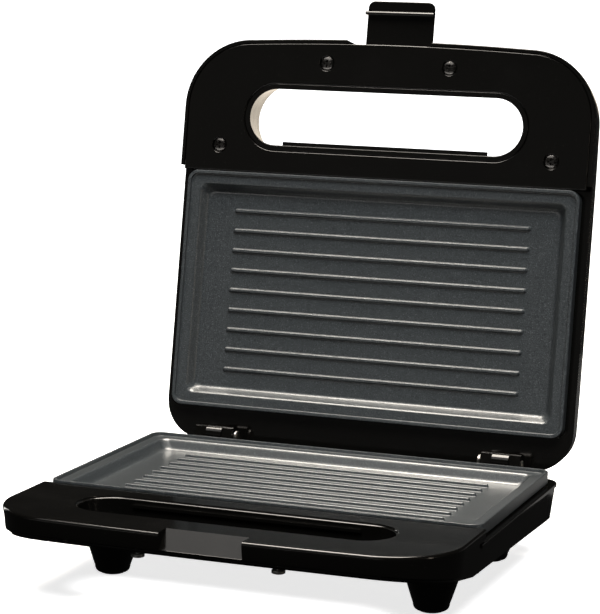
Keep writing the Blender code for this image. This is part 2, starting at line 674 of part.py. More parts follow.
def latch_pocket(grow):
    """The open pocket in the lid's front that the latch swings in."""
    half, back = NOTCH_HALF_WIDTH + 0.5 + grow, LATCH_PIVOT_Y + 6.0 + grow * 0.6
    front = LID_FRONT + 2.2
    outline = [(-half, back), (-half, front)]
    if grow:
        outline += [(-half, -170.0), (half, -170.0)]
    else:
        edge, beyond = LID_FRONT + 0.6, LID_FRONT - HANDLE_BOW - 1.0
        outline += [(-half - 3.0, edge), (-half - 6.5, beyond), (half + 6.5, beyond), (half + 3.0, edge)]
    outline += [(half, front), (half, back)]
    low = COVER_FACE + COVER_THICKNESS + GAP if grow else -5.0
    return prism(outline[::-1], low, 60.0)


def slot_tunnel(grow, low, high):
    """The lid's finger slot, which widens outwards, as a tool grown by so much."""
    rings = []
    for z in (low, high):
        wider = grow - SLOT_LIP + SLOT_DRAFT * z
        rings.append([(x, y, z) for x, y in stadium(SLOT_LENGTH, LID_SLOT_WIDTH, SLOT_CENTRE_LID, wider)])
    return loft(rings)


def ear_outline():
    y, z = HINGE_Y, -(HINGE_DROP + PLATE_GAP)
    eye = arc((y, z), EAR_RADIUS, 180, 372, 10)
    return eye + [(LID_BACK - 2.6, RIM_STEP + 2.0), (y - EAR_RADIUS, RIM_STEP + 2.0)]


def heel(x):
    """The tail of a hinge ear that meets the housing's rear wall when the lid is fully open."""
    y, z = HINGE_Y, -(HINGE_DROP + PLATE_GAP)
    reach = HINGE_Y - BASE_BACK - GAP
    tool = block((x - EAR_WIDTH / 2, -reach, -HEEL_REACH), (x + EAR_WIDTH / 2, 2.0, -1.5))
    tool.data.transform(Matrix.Translation((0, y, z)) @ Matrix.Rotation(math.radians(LID_OPEN), 4, "X"))
    return tool


def make_lid_shell():
    shell = shell_form(0.0, COVER_FACE)
    shell.name = "lid_shell"
    seam = HANDLE_BACK - 2.0
    cut(shell, block((-150, seam, -20), (150, 150, RIM_STEP)))
    inside = shell_form(LID_RIM_WALL, RIM_STEP + LEDGE_THICKNESS)
    mouth = prism(lid_outline(LID_RIM_WALL), -5.0, RIM_STEP + LEDGE_THICKNESS + 0.4)
    cut(mouth, block((-150, seam, -20), (150, 150, 40)))
    join(inside, mouth)
    cut(inside, slot_tunnel(WALL, COVER_FACE + COVER_THICKNESS + GAP, 60.0), latch_pocket(3.5))
    cut(shell, inside)
    rim = stadium(SLOT_LENGTH, LID_SLOT_WIDTH, SLOT_CENTRE_LID, SLOT_RIM)
    join(shell, prism(rim, COVER_FACE + GAP, COVER_FACE + COVER_THICKNESS + GAP + 1.0))
    cut(shell, prism(plate_outline(LEDGE_INSET, 4), RIM_STEP - 5.0, RIM_STEP + LEDGE_THICKNESS + 0.2))
    cut(shell, slot_tunnel(0.0, -10.0, 60.0), latch_pocket(0.0))
    mouth_back = SLOT_BACK - SLOT_LIP
    bar = block((-SLOT_BAR_HALF, mouth_back - BAR_REACH, 3.4), (SLOT_BAR_HALF, mouth_back + 1.0, 5.2))
    join(shell, bar)
    low = COVER_FACE + COVER_THICKNESS + 2.0
    for x, y in COVER_SCREWS:
        join(shell, turned(((4.0, low), (4.0, lid_top(y) - 1.2)), (x, y, 0), sides=16))
        cut(shell, turned(((1.7, low - 3.0), (1.7, 17.0)), (x, y, 0), sides=12))
    for side in (-1, 1):
        x = side * HINGE_X
        join(shell, prism(ear_outline(), x - EAR_WIDTH / 2, x + EAR_WIDTH / 2, "X"), heel(x))
        eye = ((PIN_RADIUS + RUNNING, -20), (PIN_RADIUS + RUNNING, 20))
        cut(shell, turned(eye, (x, HINGE_Y, -(HINGE_DROP + PLATE_GAP)), "X", 16))
        cut(shell, turned(((4.3, 20.0), (4.3, 50.0)), (side * LAMP_X, LAMP_Y, 0), sides=20))
    hole = LATCH_PIN_RADIUS + RUNNING
    cut(shell, turned(((hole, -30), (hole, 30)), (0, LATCH_PIVOT_Y, LATCH_PIVOT_HEIGHT), "X", 14))
    return shell


def make_lid_cover():
    """The cover that closes the lid's handle on the inner side."""
    face, back = COVER_FACE, COVER_FACE + COVER_THICKNESS
    edge = LID_RIM_WALL + 0.35
    rings = []
    for z, inset in ((face, edge + 0.6), (face + 0.5, edge), (back, edge)):
        rings.append([(x, y, z) for x, y in lid_outline(inset)])
    cover = loft(rings, "lid_handle_cover")
    cut(cover, block((-150, HANDLE_BACK, -20), (150, 150, 20)))
    skirt_inset = LID_RIM_WALL + 3.0
    half = LID_HALF_WIDTH - skirt_inset
    seam = HANDLE_BACK - 2.0
    join(cover, block((-half, seam - 0.1, back - 1.0), (half, HANDLE_BACK - 0.1, RIM_STEP - GAP)))
    cut(cover, prism(stadium(SLOT_LENGTH, LID_SLOT_WIDTH, SLOT_CENTRE_LID, SLOT_RIM + GAP), -10.0, 20.0))
    for x, y in COVER_SCREWS:
        join(cover, turned(((5.4, back - 0.6), (5.4, back + 1.7)), (x, y, 0), sides=20))
        cut(cover, turned(((4.1, -3.0), (4.1, back + 0.2)), (x, y, 0), sides=20))
        cut(cover, turned(((1.9, -3.0), (1.9, back + 4.0)), (x, y, 0), sides=12))
    return cover


def make_cover_screw(name, x, y):
    return screw(name, (x, y, COVER_FACE + COVER_THICKNESS - 0.1), 1, 3.7, 1.35, 12.0)


def make_lens(name, side):
    """A domed lens held in the lid's top from inside."""
    y = LAMP_Y
    top = lid_top(y)
    profile = (
        (5.6, top - LID_RIM_WALL - 1.7), (5.6, top - LID_RIM_WALL - 0.5), (4.0, top - LID_RIM_WALL - 0.5),
        (4.0, top + 0.5), (2.8, top + 1.1), (1.0, top + 1.3),
    )
    return turned(profile, (side * LAMP_X, y, 0), sides=16, name=name)


def make_lamp(name, side):
    top = lid_top(LAMP_Y) - LID_RIM_WALL - 2.2
    profile = ((0.5, top - 14.0), (0.5, top - 11.0), (2.6, top - 10.6), (2.6, top - 1.6), (0.8, top))
    return turned(profile, (side * LAMP_X, LAMP_Y, 0), sides=14, name=name)


def make_thermostat():
    """A bimetal disc thermostat against the lid plate's back, in the base's attitude."""
    top = -PLATE_UNDERSIDE - GAP
    body = turned(
        ((8.0, top), (8.0, top - 2.0), (6.6, top - 2.4), (6.6, top - 7.6), (5.4, top - 8.0)),
        (0, 20, 0), sides=20, name="thermostat",
    )
    for side in (-1, 1):
        join(body, block((side * 8.0 - 3.0, 18.2, top - 7.0), (side * 8.0 + 3.0, 21.8, top - 6.2)))
    return body


def make_fuse():
    """A thermal cut-out in its sleeve, lying on the lid plate's back, in the base's attitude."""
    z = -PLATE_UNDERSIDE - 2.6
    profile = ((0.5, -17), (0.5, -8), (2.2, -7.6), (2.2, 7.0), (0.5, 8.6), (0.5, 17))
    return turned(profile, (-30.0, 26.0, z), "X", 12, "thermal_fuse")


def make_latch_pin():
    half = NOTCH_HALF_WIDTH + 3.4
    r = LATCH_PIN_RADIUS
    profile = ((r - 0.4, -half), (r, -half + 0.4), (r, half - 0.4), (r - 0.4, half))
    return turned(profile, (0, LATCH_PIVOT_Y, LATCH_PIVOT_HEIGHT), "X", 14, "latch_pin")


# ---- latch, modelled closed ----
def make_latch():
    """A swinging clip: two arms on the pin, a plate, a hook ridge across it and a finger tip."""
    py, pz = LATCH_PIVOT_Y, LATCH_PIVOT_HEIGHT
    inner, outer = py - LATCH_STANDOFF, py - LATCH_STANDOFF - LATCH_THICKNESS
    root, tip = pz + 5.2, pz - LATCH_REACH
    half = LATCH_HALF_WIDTH
    corner = 4.0
    face = [(-half, root), (half, root)]
    face += [(x, z) for x, z in arc((half - corner, tip + corner), corner, 0, -90, 5)]
    face += [(x, z) for x, z in arc((-half + corner, tip + corner), corner, -90, -180, 5)]
    latch = prism(face, outer, inner, "Y", "latch")
    hook = pz - LATCH_HOOK
    ridge = (
        (inner - 0.8, hook), (inner + RIDGE_DEPTH, hook), (inner + RIDGE_DEPTH, hook - RIDGE_THICKNESS * 0.6),
        (inner + RIDGE_DEPTH - 1.0, hook - RIDGE_THICKNESS), (inner - 0.8, hook - RIDGE_THICKNESS),
    )
    join(latch, prism(ridge, -half - 0.4, half + 0.4, "X"))
    for side in (-1, 1):
        arm = arc((py, pz), 3.9, -75, 100, 9)
        arm += [(inner - 0.8, root - 0.6), (inner - 0.8, pz - 5.0)]
        low, high = sorted((side * (half - 0.5), side * (half - 4.5)))
        join(latch, prism(arm, low, high, "X"))
    hole = LATCH_PIN_RADIUS + RUNNING
    return cut(latch, turned(((hole, -30), (hole, 30)), (0, py, pz), "X", 14))


# ---- materials and assembly ----
def material(name, colour, roughness, metallic=0.0):
    made = bpy.data.materials.new(name)
    made.use_nodes = True
    shader = made.node_tree.nodes["Principled BSDF"]
    shader.inputs["Base Color"].default_value = (*colour, 1.0)
    shader.inputs["Roughness"].default_value = roughness
    shader.inputs["Metallic"].default_value = metallic
    return made


def make_materials():
    return {
        "black_plastic": material("black_plastic", (0.012, 0.012, 0.011), 0.18),
        "nonstick": material("nonstick", (0.06, 0.065, 0.07), 0.42, 0.2),
        "steel": material("steel", (0.55, 0.55, 0.56), 0.3, 1.0),
        "aluminium": material("aluminium", (0.72, 0.72, 0.74), 0.35, 1.0),
        "rubber": material("rubber", (0.02, 0.02, 0.02), 0.75),
        "ceramic": material("ceramic", (0.82, 0.8, 0.74), 0.4),
        "red_lens": material("red_lens", (0.55, 0.02, 0.02), 0.12),
        "green_lens": material("green_lens", (0.03, 0.4, 0.08), 0.12),
        "glass": material("glass", (0.8, 0.75, 0.7), 0.08),
    }


def pivot(name, parent, place, turn=0.0):
    empty = bpy.data.objects.new(name, None)
    bpy.context.scene.collection.objects.link(empty)
    empty.parent = parent
    empty.location = Vector(place) * MM
    empty.rotation_euler = (math.radians(turn), 0.0, 0.0)
    return empty


def mount(obj, parent, origin, looks, flip=False):
    """Scales a finished mesh to metres about its body's origin and parents it there."""
    matrix = Matrix.Scale(MM, 4) @ Matrix.Translation(-Vector(origin))
    if flip:
        matrix = matrix @ Matrix.Rotation(math.pi, 4, "Y")
    obj.data.transform(matrix)
    obj.data.materials.clear()
    obj.data.materials.append(looks)
    obj.data.shade_smooth()
    obj.data.set_sharp_from_angle(angle=math.radians(30))
    obj.parent = parent


def assemble():
    for old in list(bpy.data.objects):
        bpy.data.objects.remove(old)
    looks = make_materials()
    press = pivot("press", None, (0, 0, RIM_HEIGHT))
    lid_origin = (0, HINGE_Y, -(HINGE_DROP + PLATE_GAP))
    lid = pivot("lid_hinge_axis", press, (0, HINGE_Y, -HINGE_DROP), -LID_OPEN)
    latch_origin = (0, LATCH_PIVOT_Y, LATCH_PIVOT_HEIGHT)
    clip = pivot("latch_pivot_axis", lid, Vector(latch_origin) - Vector(lid_origin), -LATCH_OPEN)

    base_pieces = [(make_housing(), "black_plastic"), (make_handle_cover(), "black_plastic")]
    base_pieces += make_heater("lower")
    base_pieces += [(make_gland(), "rubber"), (make_terminal_block(), "ceramic")]
    for side, word in ((-1, "left"), (1, "right")):
        base_pieces.append((make_hinge_pin("hinge_pin_" + word, side), "steel"))
        for where, y in FOOT_Y.items():
            place = (side * FOOT_X, y)
            base_pieces.append((make_foot(f"foot_{where}_{word}", *place), "black_plastic"))
            base_pieces.append((make_pad(f"foot_pad_{where}_{word}", *place), "rubber"))
    for i, (x, y) in enumerate(COVER_SCREWS, 1):
        base_pieces.append((make_handle_screw(f"base_handle_screw_{i}", x, y), "steel"))
    for obj, look in base_pieces:
        mount(obj, press, (0, 0, 0), looks[look])

    lid_pieces = [(make_lid_shell(), "black_plastic"), (make_lid_cover(), "black_plastic")]
    lid_pieces += [(make_latch_pin(), "steel")]
    for side, colour in ((-1, "red"), (1, "green")):
        lid_pieces.append((make_lens(f"{colour}_lens", side), colour + "_lens"))
        lid_pieces.append((make_lamp(f"{colour}_lamp", side), "glass"))
    for i, (x, y) in enumerate(COVER_SCREWS, 1):
        lid_pieces.append((make_cover_screw(f"lid_cover_screw_{i}", x, y), "steel"))
    for obj, look in lid_pieces:
        mount(obj, lid, lid_origin, looks[look])
    for obj, look in make_heater("upper") + [(make_thermostat(), "steel"), (make_fuse(), "steel")]:
        mount(obj, lid, lid_origin, looks[look], flip=True)

    mount(make_latch(), clip, latch_origin, looks["black_plastic"])
    centre_on_origin(press)


def centre_on_origin(press):
    """Moves the whole press so that the middle of its box, seen from above, is the origin."""
    bpy.context.view_layer.update()
    depths = [
        (obj.matrix_world @ vertex.co).y
        for obj in bpy.data.objects if obj.type == "MESH" for vertex in obj.data.vertices
    ]
    press.location.y -= (min(depths) + max(depths)) / 2
    bpy.context.view_layer.update()


assemble()
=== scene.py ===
"""Looks of the two-slice panini press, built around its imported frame.

The fine pieces are modelled in press coordinates in millimetres: X to the right, Y to the back,
Z up, with the middle of the lower plate's rim at the origin. Lid and latch pieces are modelled
with the lid closed, Z being the height above its parting plane. Each piece is then placed with the
matrix of its body, which is worked out from the frame's boxes and joints.
"""

import json
import math

import bmesh
import bpy
from mathutils import Matrix, Vector


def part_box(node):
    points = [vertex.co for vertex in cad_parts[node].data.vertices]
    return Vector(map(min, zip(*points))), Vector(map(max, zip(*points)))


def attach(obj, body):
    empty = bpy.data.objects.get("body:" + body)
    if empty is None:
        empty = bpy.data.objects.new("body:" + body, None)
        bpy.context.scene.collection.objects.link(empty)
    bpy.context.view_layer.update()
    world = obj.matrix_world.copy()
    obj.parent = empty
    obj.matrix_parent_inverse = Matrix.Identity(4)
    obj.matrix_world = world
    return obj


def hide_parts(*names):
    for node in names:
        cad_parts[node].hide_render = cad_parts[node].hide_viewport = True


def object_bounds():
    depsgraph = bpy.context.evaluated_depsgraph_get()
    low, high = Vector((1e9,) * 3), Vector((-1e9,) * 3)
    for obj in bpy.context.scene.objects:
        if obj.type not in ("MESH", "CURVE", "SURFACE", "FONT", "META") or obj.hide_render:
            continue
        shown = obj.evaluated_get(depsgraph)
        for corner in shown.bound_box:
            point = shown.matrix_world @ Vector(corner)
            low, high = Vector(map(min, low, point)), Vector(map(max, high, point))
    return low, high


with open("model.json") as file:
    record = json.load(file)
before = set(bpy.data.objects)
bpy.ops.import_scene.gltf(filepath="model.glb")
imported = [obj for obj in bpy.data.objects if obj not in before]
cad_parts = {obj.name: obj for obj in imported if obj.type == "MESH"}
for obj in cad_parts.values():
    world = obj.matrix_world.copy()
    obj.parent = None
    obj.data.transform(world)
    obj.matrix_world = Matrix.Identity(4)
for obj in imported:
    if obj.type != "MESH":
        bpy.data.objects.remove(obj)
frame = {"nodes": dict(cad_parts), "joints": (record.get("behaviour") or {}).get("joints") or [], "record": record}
cad_low, cad_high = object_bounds()

MM = 0.001
GAP = 0.3
BEYOND = 200.0               # cutters reach this far out, past every piece
BELOW = -60.0                # and from here
ABOVE = 60.0                 # to here

# ---- the frame in press coordinates, mm ----
joints = {joint["name"]: joint for joint in frame["joints"]}


def node_box(name, turn=None):
    """A node's lowest and highest corners in press coordinates, after a turn when one is given."""
    points = [vertex.co / MM - RIM for vertex in frame["nodes"][name].data.vertices]
    if turn is not None:
        points = [turn @ point for point in points]
    low = Vector(min(point[i] for point in points) for i in range(3))
    return low, Vector(max(point[i] for point in points) for i in range(3))


plate_low, plate_high = (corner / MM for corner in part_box("lower_plate"))
RIM = Vector(((plate_low.x + plate_high.x) / 2, (plate_low.y + plate_high.y) / 2, plate_high.z))
HINGE = Vector(joints["lid_hinge"]["pos_m"]) / MM - RIM
LATCH_PIVOT = Vector(joints["latch_pivot"]["pos_m"]) / MM - RIM
LID_OPEN = math.radians(joints["lid_hinge"]["range_deg"][1])
LATCH_OPEN = math.radians(joints["latch_pivot"]["range_deg"][1])


def about(point, angle):
    shift = Matrix.Translation(point)
    return shift @ Matrix.Rotation(angle, 4, "X") @ shift.inverted()


CLOSE = about(HINGE, LID_OPEN)
PLATE_WIDTH = plate_high.x - plate_low.x
PLATE_DEPTH = plate_high.y - plate_low.y
PLATE_GAP = node_box("upper_plate", CLOSE)[0].z
ROW = Matrix.Scale(MM, 4) @ Matrix.Translation(RIM)
LIFT = Matrix.Translation((0, 0, PLATE_GAP))
BASE = ROW
LID = ROW @ about(HINGE, -LID_OPEN) @ LIFT
LID_PLATE = LID @ Matrix.Rotation(math.pi, 4, "Y")
PIVOT = LIFT.inverted() @ CLOSE @ LATCH_PIVOT
LATCH = LID @ about(PIVOT, -LATCH_OPEN)

base_low, base_high = node_box("base_handle_cover")
housing_low = node_box("base_housing")[0]
shell_low, shell_high = node_box("lid_shell", LIFT.inverted() @ CLOSE)
cover_low = node_box("lid_handle_cover", LIFT.inverted() @ CLOSE)[0]
FEET = {
    f"{where}_{side}": node_box(f"foot_{where}_{side}")
    for where in ("front", "rear")
    for side in ("left", "right")
}


def middle(box):
    """The middle of a box in plan."""
    low, high = box
    return ((low + high) / 2).xy



# ---- sizes that the boxes don't give, mm ----
PLATE_CORNER = 6.0
PLATE_SKIRT = 6.0
LIP_WIDTH = 1.8
LIP_DROP = 1.8
FLANGE_WIDTH = 5.2
PLATE_FLOOR = 7.5            # depth of the cooking face below the lip
PLATE_THICKNESS = 2.2
PLATE_FRONT = -PLATE_DEPTH / 2
FACE_HALF_WIDTH = PLATE_WIDTH / 2 - 17.0     # of the cooking face's flat middle
FACE_HALF_DEPTH = PLATE_DEPTH / 2 - 17.5
RIB_COUNT = 9
RIB_HALF_WIDTH = 1.0
RIB_HEIGHT = 1.6
RIB_END_MARGIN = 27.0        # plate's edge to a rib's end
RIB_SIDE_MARGIN = 21.2       # plate's edge to the first rib
RIB_FIRST = PLATE_FRONT + RIB_SIDE_MARGIN
RIB_PITCH = -2 * RIB_FIRST / (RIB_COUNT - 1)
RIB_STRAIGHT = PLATE_WIDTH / 2 - RIB_END_MARGIN - RIB_HALF_WIDTH
RIB_REACH = 9.0              # further than this from a rib the face is flat
RIB_SECTION = (              # (distance from a rib's middle line, height)
    (0.0, RIB_HEIGHT), (0.4, RIB_HEIGHT - 0.02), (0.7, RIB_HEIGHT - 0.14), (0.9, RIB_HEIGHT - 0.4),
    (1.0, RIB_HEIGHT - 0.8), (1.1, 0.4), (1.25, 0.14), (1.6, 0.0), (RIB_REACH, 0.0),
)

WALL = 2.2
DRAFT = 0.11                 # how much a side wall leans in for each mm of height
RIM_STEP = PLATE_SKIRT + 1.0                 # casing's rim below the plate's rim
LEDGE_THICKNESS = 1.6
LEDGE_INSET = 5.5            # the ledge under the plate ends this far inside the plate's edge
BOW = 2.0                    # how far the front edges bow forward
HANDLE_CORNER = 36.0
HANDLE_FRONT = base_low.y
HANDLE_BACK = base_high.y
HANDLE_TOP = base_high.z
BASE_HALF_WIDTH = base_high.x
SEAM_Y = PLATE_FRONT - 6.7
BASE_BACK = -PLATE_FRONT + 10.0
BASE_BACK_CORNER = 10.0
SEAM_BOTTOM = -23.0          # underside at the seam between handle and housing
BACK_BOTTOM = housing_low.z
LIP_BOTTOM = SEAM_BOTTOM + 11.2              # underside at the handle's front
FLOOR_LIP = 1.7              # housing's floor under the handle

LID_HALF_WIDTH = shell_high.x
LID_FRONT = shell_low.y
LID_BACK = HINGE.y + 4.2
LID_BACK_CORNER = 22.0
LID_HEIGHT = shell_high.z
LID_RIM_WALL = 2.0
LID_FRONT_FALL = 4.0
LID_BACK_FALL = 1.5
LID_CREST = (PLATE_FRONT - 5.0, LID_BACK - 44.0)    # the lid is highest between these
LID_SEAM = HANDLE_BACK - 2.0
COVER_FACE = cover_low.z
COVER_THICKNESS = 2.2

SLOT_BACK = PLATE_FRONT - 14.0
SLOT_LENGTH = 2 * (LID_HALF_WIDTH - 37.2)
LID_SLOT_WIDTH = SLOT_BACK - LID_FRONT - 26.7
BASE_SLOT_WIDTH = SLOT_BACK - HANDLE_FRONT - 26.5
SLOT_CENTRE_LID = SLOT_BACK - LID_SLOT_WIDTH / 2
SLOT_CENTRE_BASE = SLOT_BACK - BASE_SLOT_WIDTH / 2
SLOT_BAR_HALF = SLOT_LENGTH / 2 - 21.0
SLOT_RIM = 1.2
SLOT_LIP = 2.0
SLOT_DRAFT = 0.2
BAR_REACH = 2.0
OUTER_SCREW = middle(node_box("lid_cover_screw_4", CLOSE))
INNER_SCREW = middle(node_box("lid_cover_screw_3", CLOSE))
SCREWS = [(-OUTER_SCREW.x, OUTER_SCREW.y), (-INNER_SCREW.x, INNER_SCREW.y), INNER_SCREW, OUTER_SCREW]

COVER_SCREW_HEAD = 3.7       # radii
HANDLE_SCREW_HEAD = 3.2
SHANK_RADIUS = 1.35
SCREW_HEAD_HEIGHT = 2.1
WELL_RADIUS = 4.1

HINGE_X = BASE_HALF_WIDTH - 33.2
PIN_RADIUS = 2.0
RUNNING = 0.3                # radial clearance round a pin
EAR_WIDTH = 9.0
EAR_RADIUS = 5.4
LUG_WIDTH = 6.0
HEEL_REACH = 9.0
LATCH_HALF_WIDTH = 19.0
LATCH_STANDOFF = 7.8         # pivot to the latch's inner face
LATCH_THICKNESS = 2.2
LATCH_TIP = 7.9              # hook's face to the finger tip
LATCH_PLAY = 2.9             # room under the base's lip
LATCH_PIN_RADIUS = 1.5
RIDGE_DEPTH = 3.4
RIDGE_THICKNESS = 2.0
NOTCH_HALF_WIDTH = LATCH_HALF_WIDTH + 1.5
NOTCH_BACK = HANDLE_FRONT + 10.0
NOTCH_FLOOR = LIP_BOTTOM + 2.5
LAMP_X = 14.0
LAMP_Y = PLATE_FRONT + 7.0
LENS_RADIUS = 4.0
GLAND = (40.0, BACK_BOTTOM + 10.9)           # its place in the rear wall, (x, z)
GLAND_RADIUS = 5.5
PAD_RADIUS = 6.2
PAD_STANDS = 0.8             # how far the rubber stands below the foot
SPIGOT_RADIUS = 3.9
FOOT_TOP_RADIUS = 15.5
FOOT_TIP_RADIUS = 8.2


# ---- meshes ----
def mesh_object(name, bm):
    bmesh.ops.recalc_face_normals(bm, faces=bm.faces)
    mesh = bpy.data.meshes.new(name)
    bm.to_mesh(mesh)
    bm.free()
    obj = bpy.data.objects.new(name, mesh)
    bpy.context.scene.collection.objects.link(obj)
    return obj


def rungs(bm, ring):
    """Closes a ring that is mirrored about X = 0 with faces that each span it from side to side."""
    near = 1e-4
    right = sorted((v for v in ring if v.co.x > near), key=lambda v: v.co.y)
    left = sorted((v for v in ring if v.co.x < -near), key=lambda v: v.co.y)
    for vert in ring:
        if abs(vert.co.x) <= near:
            bm.faces.new((vert, right[0], left[0]))
    for i in range(len(right) - 1):
        bm.faces.new((left[i], right[i], right[i + 1], left[i + 1]))


def skin(bm, rings):
    """Makes the rings' vertices and the faces between them. Returns the rows of vertices."""
    rows = [[bm.verts.new(point) for point in ring] for ring in rings]
    for lower, upper in zip(rows, rows[1:]):
        for i in range(len(lower)):
            j = (i + 1) % len(lower)
            bm.faces.new((lower[i], lower[j], upper[j], upper[i]))
    return rows


def loft(rings, name="tool", flat_ends=True):
    """A closed solid through rings of equally many points, capped at both ends."""
    bm = bmesh.new()
    rows = skin(bm, rings)
    if flat_ends:
        bm.faces.new(rows[0][::-1])
        bm.faces.new(rows[-1])
    else:
        rungs(bm, rows[0])
        rungs(bm, rows[-1])
    return mesh_object(name, bm)


def stack(outline, levels, name="tool"):
    """A loft whose levels are (z, inset) of one outline."""
    return loft([[(x, y, z) for x, y in outline(inset)] for z, inset in levels], name)


def prism(outline, low, high, axis="Z", name="tool"):
    """An outline pushed from low to high along an axis. Along X the outline is (y, z)."""
    def at(point, level):
        a, b = point
        return {"X": (level, a, b), "Y": (a, level, b), "Z": (a, b, level)}[axis]

    return loft([[at(p, low) for p in outline], [at(p, high) for p in outline]], name)


def block(low, high, name="tool"):
    outline = ((low[0], low[1]), (high[0], low[1]), (high[0], high[1]), (low[0], high[1]))
    return prism(outline, low[2], high[2], "Z", name)


def circle(radius, centre=(0.0, 0.0), sides=48):
    turn = 2 * math.pi / sides
    return [
        (centre[0] + radius * math.cos(turn * (i + 0.5)), centre[1] + radius * math.sin(turn * (i + 0.5)))
        for i in range(sides)
    ]


def turned(profile, centre, axis="Z", sides=48, name="tool"):
    """A solid of revolution. The profile is (radius, height) from one end to the other."""
    rings = []
    for radius, height in profile:
        ring = []
        for a, b in circle(radius, sides=sides):
            offset = {"X": (height, a, b), "Y": (a, height, b), "Z": (a, b, height)}[axis]
            ring.append(tuple(c + o for c, o in zip(centre, offset)))
        rings.append(ring)
    return loft(rings, name)


def bore(radius, reach, centre, axis="Z", sides=48):
    """A round cutter that reaches as far to both sides of its centre."""
    return turned(((radius, -reach), (radius, reach)), centre, axis, sides)


def boolean(target, tool, operation):
    """Applies a Boolean to the target and removes the tool."""
    modifier = target.modifiers.new(operation.lower(), "BOOLEAN")
    modifier.operation = operation
    modifier.solver = "EXACT"
    modifier.object = tool
    graph = bpy.context.evaluated_depsgraph_get()
    result = bpy.data.meshes.new_from_object(target.evaluated_get(graph))
    old, spent = target.data, tool.data
    target.modifiers.clear()
    target.data = result
    result.name = target.name
    bpy.data.objects.remove(tool)
    bpy.data.meshes.remove(old)
    bpy.data.meshes.remove(spent)
    return target


def cut(target, *tools):
    for tool in tools:
        boolean(target, tool, "DIFFERENCE")
    return target


def join(target, *tools):
    for tool in tools:
        boolean(target, tool, "UNION")
    return target


def fillet(radius, steps=4):
    """A quarter round as (depth below the face, inset from the side), from the face to the side."""
    turns = [math.pi / 2 * i / steps for i in range(steps + 1)]
    return [(radius * (1 - math.cos(a)), radius * (1 - math.sin(a))) for a in turns]


def slab(outline, low, high, low_round, high_round, name="tool"):
    """A plate whose edges are rounded at both faces. outline(inset) gives its plan."""
    levels = [(low + depth, inset) for depth, inset in fillet(low_round)]
    levels += [(high - depth, inset) for depth, inset in fillet(high_round)[::-1]]
    return stack(outline, levels, name)


def opening(outline, low, high, low_round=0.0, high_round=0.0):
    """A cutter whose hole is rounded where it meets the faces at low and high."""
    levels = [(low - 1.0, -low_round)]
    if low_round:
        levels += [(low + low_round - depth, -low_round + inset) for inset, depth in fillet(low_round)]
    if high_round:
        edge = fillet(high_round)[::-1]
        levels += [(high - high_round + depth, -high_round + inset) for inset, depth in edge]
    levels.append((high + 1.0, -high_round))
    return stack(outline, levels)


def through(points, steps=5):
    """A smooth Catmull-Rom line through points, which may have any number of coordinates."""
    ends = [Vector(points[0]) * 2 - Vector(points[1])] + [Vector(p) for p in points]
    ends.append(Vector(points[-1]) * 2 - Vector(points[-2]))
    line = []
    for a, b, c, d in zip(ends, ends[1:], ends[2:], ends[3:]):
        for i in range(steps):
            t = i / steps
            line.append(0.5 * (2 * b + (c - a) * t + (2 * a - 5 * b + 4 * c - d) * t * t
                               + (3 * b - a - 3 * c + d) * t * t * t))
    return line + [Vector(points[-1])]


# ---- outlines ----
def arc(centre, radius, start, end, steps):
    return [
        (
            centre[0] + radius * math.cos(math.radians(start + (end - start) * i / steps)),
            centre[1] + radius * math.sin(math.radians(start + (end - start) * i / steps)),
        )
        for i in range(steps + 1)
    ]


def rounded(half_width, front, back, front_corner, back_corner, inset=0.0, bow=0.0, steps=20, stops=()):
    """A rounded rectangle in plan, inset all round, whose front edge may bow forward."""
    w, f, b = half_width - inset, front + bow + inset, back - inset
    r, s = max(front_corner - inset, 0.8), max(back_corner - inset, 0.8)
    points = [(w, y) for y in stops]
    points += arc((w - s, b - s), s, 0, 90, steps) + arc((-w + s, b - s), s, 90, 180, steps)
    points += [(-w, y) for y in stops[::-1]]
    points += arc((-w + r, f + r), r, 180, 270, steps)
    span = w - r
    if bow:
        for i in range(1, 16):
            x = -span + 2 * span * i / 16
            points.append((x, f - bow * (1 - (x / span) ** 2)))
    return points + arc((w - r, f + r), r, 270, 360, steps)


def side_stops(front, back, count=9):
    return tuple(front + (back - front) * i / (count - 1) for i in range(count))


def base_outline(inset):
    return rounded(
        BASE_HALF_WIDTH, HANDLE_FRONT, BASE_BACK, HANDLE_CORNER, BASE_BACK_CORNER, inset, BOW,
        stops=(SEAM_Y,),
    )


def lid_outline(inset):
    return rounded(
        LID_HALF_WIDTH, LID_FRONT, LID_BACK, HANDLE_CORNER + 1.5, LID_BACK_CORNER, inset, BOW,
        stops=side_stops(LID_CREST[0] - 20.0, LID_CREST[1]),
    )


def plate_outline(inset, steps=10):
    corner = max(PLATE_CORNER, 4.5 + inset)
    return rounded(PLATE_WIDTH / 2, PLATE_FRONT, -PLATE_FRONT, corner, corner, inset, 0.0, steps)


def stadium(length, width, centre_y, grow=0.0, steps=28):
    r = width / 2 + grow
    x = length / 2 - width / 2
    return arc((x, centre_y), r, -90, 90, steps) + arc((-x, centre_y), r, 90, 270, steps)


def lid_slot(inset):
    return stadium(SLOT_LENGTH, LID_SLOT_WIDTH, SLOT_CENTRE_LID, -inset)


def base_slot(inset):
    return stadium(SLOT_LENGTH, BASE_SLOT_WIDTH, SLOT_CENTRE_BASE, -inset)


def between(y, points):
    """Height at y on a line through (y, height) points, in order of y."""
    for (y0, h0), (y1, h1) in zip(points, points[1:]):
        if y <= y1 or (y1, h1) == points[-1]:
            return h0 + (h1 - h0) * (y - y0) / (y1 - y0)


def softened(y, points, reach=9.0):
    """The same line with its bends eased over a short reach."""
    return sum(between(y + reach * k / 3, points) for k in range(-3, 4)) / 7


def base_bottom(y):
    return between(y, ((HANDLE_FRONT, LIP_BOTTOM), (SEAM_Y, SEAM_BOTTOM), (BASE_BACK, BACK_BOTTOM)))


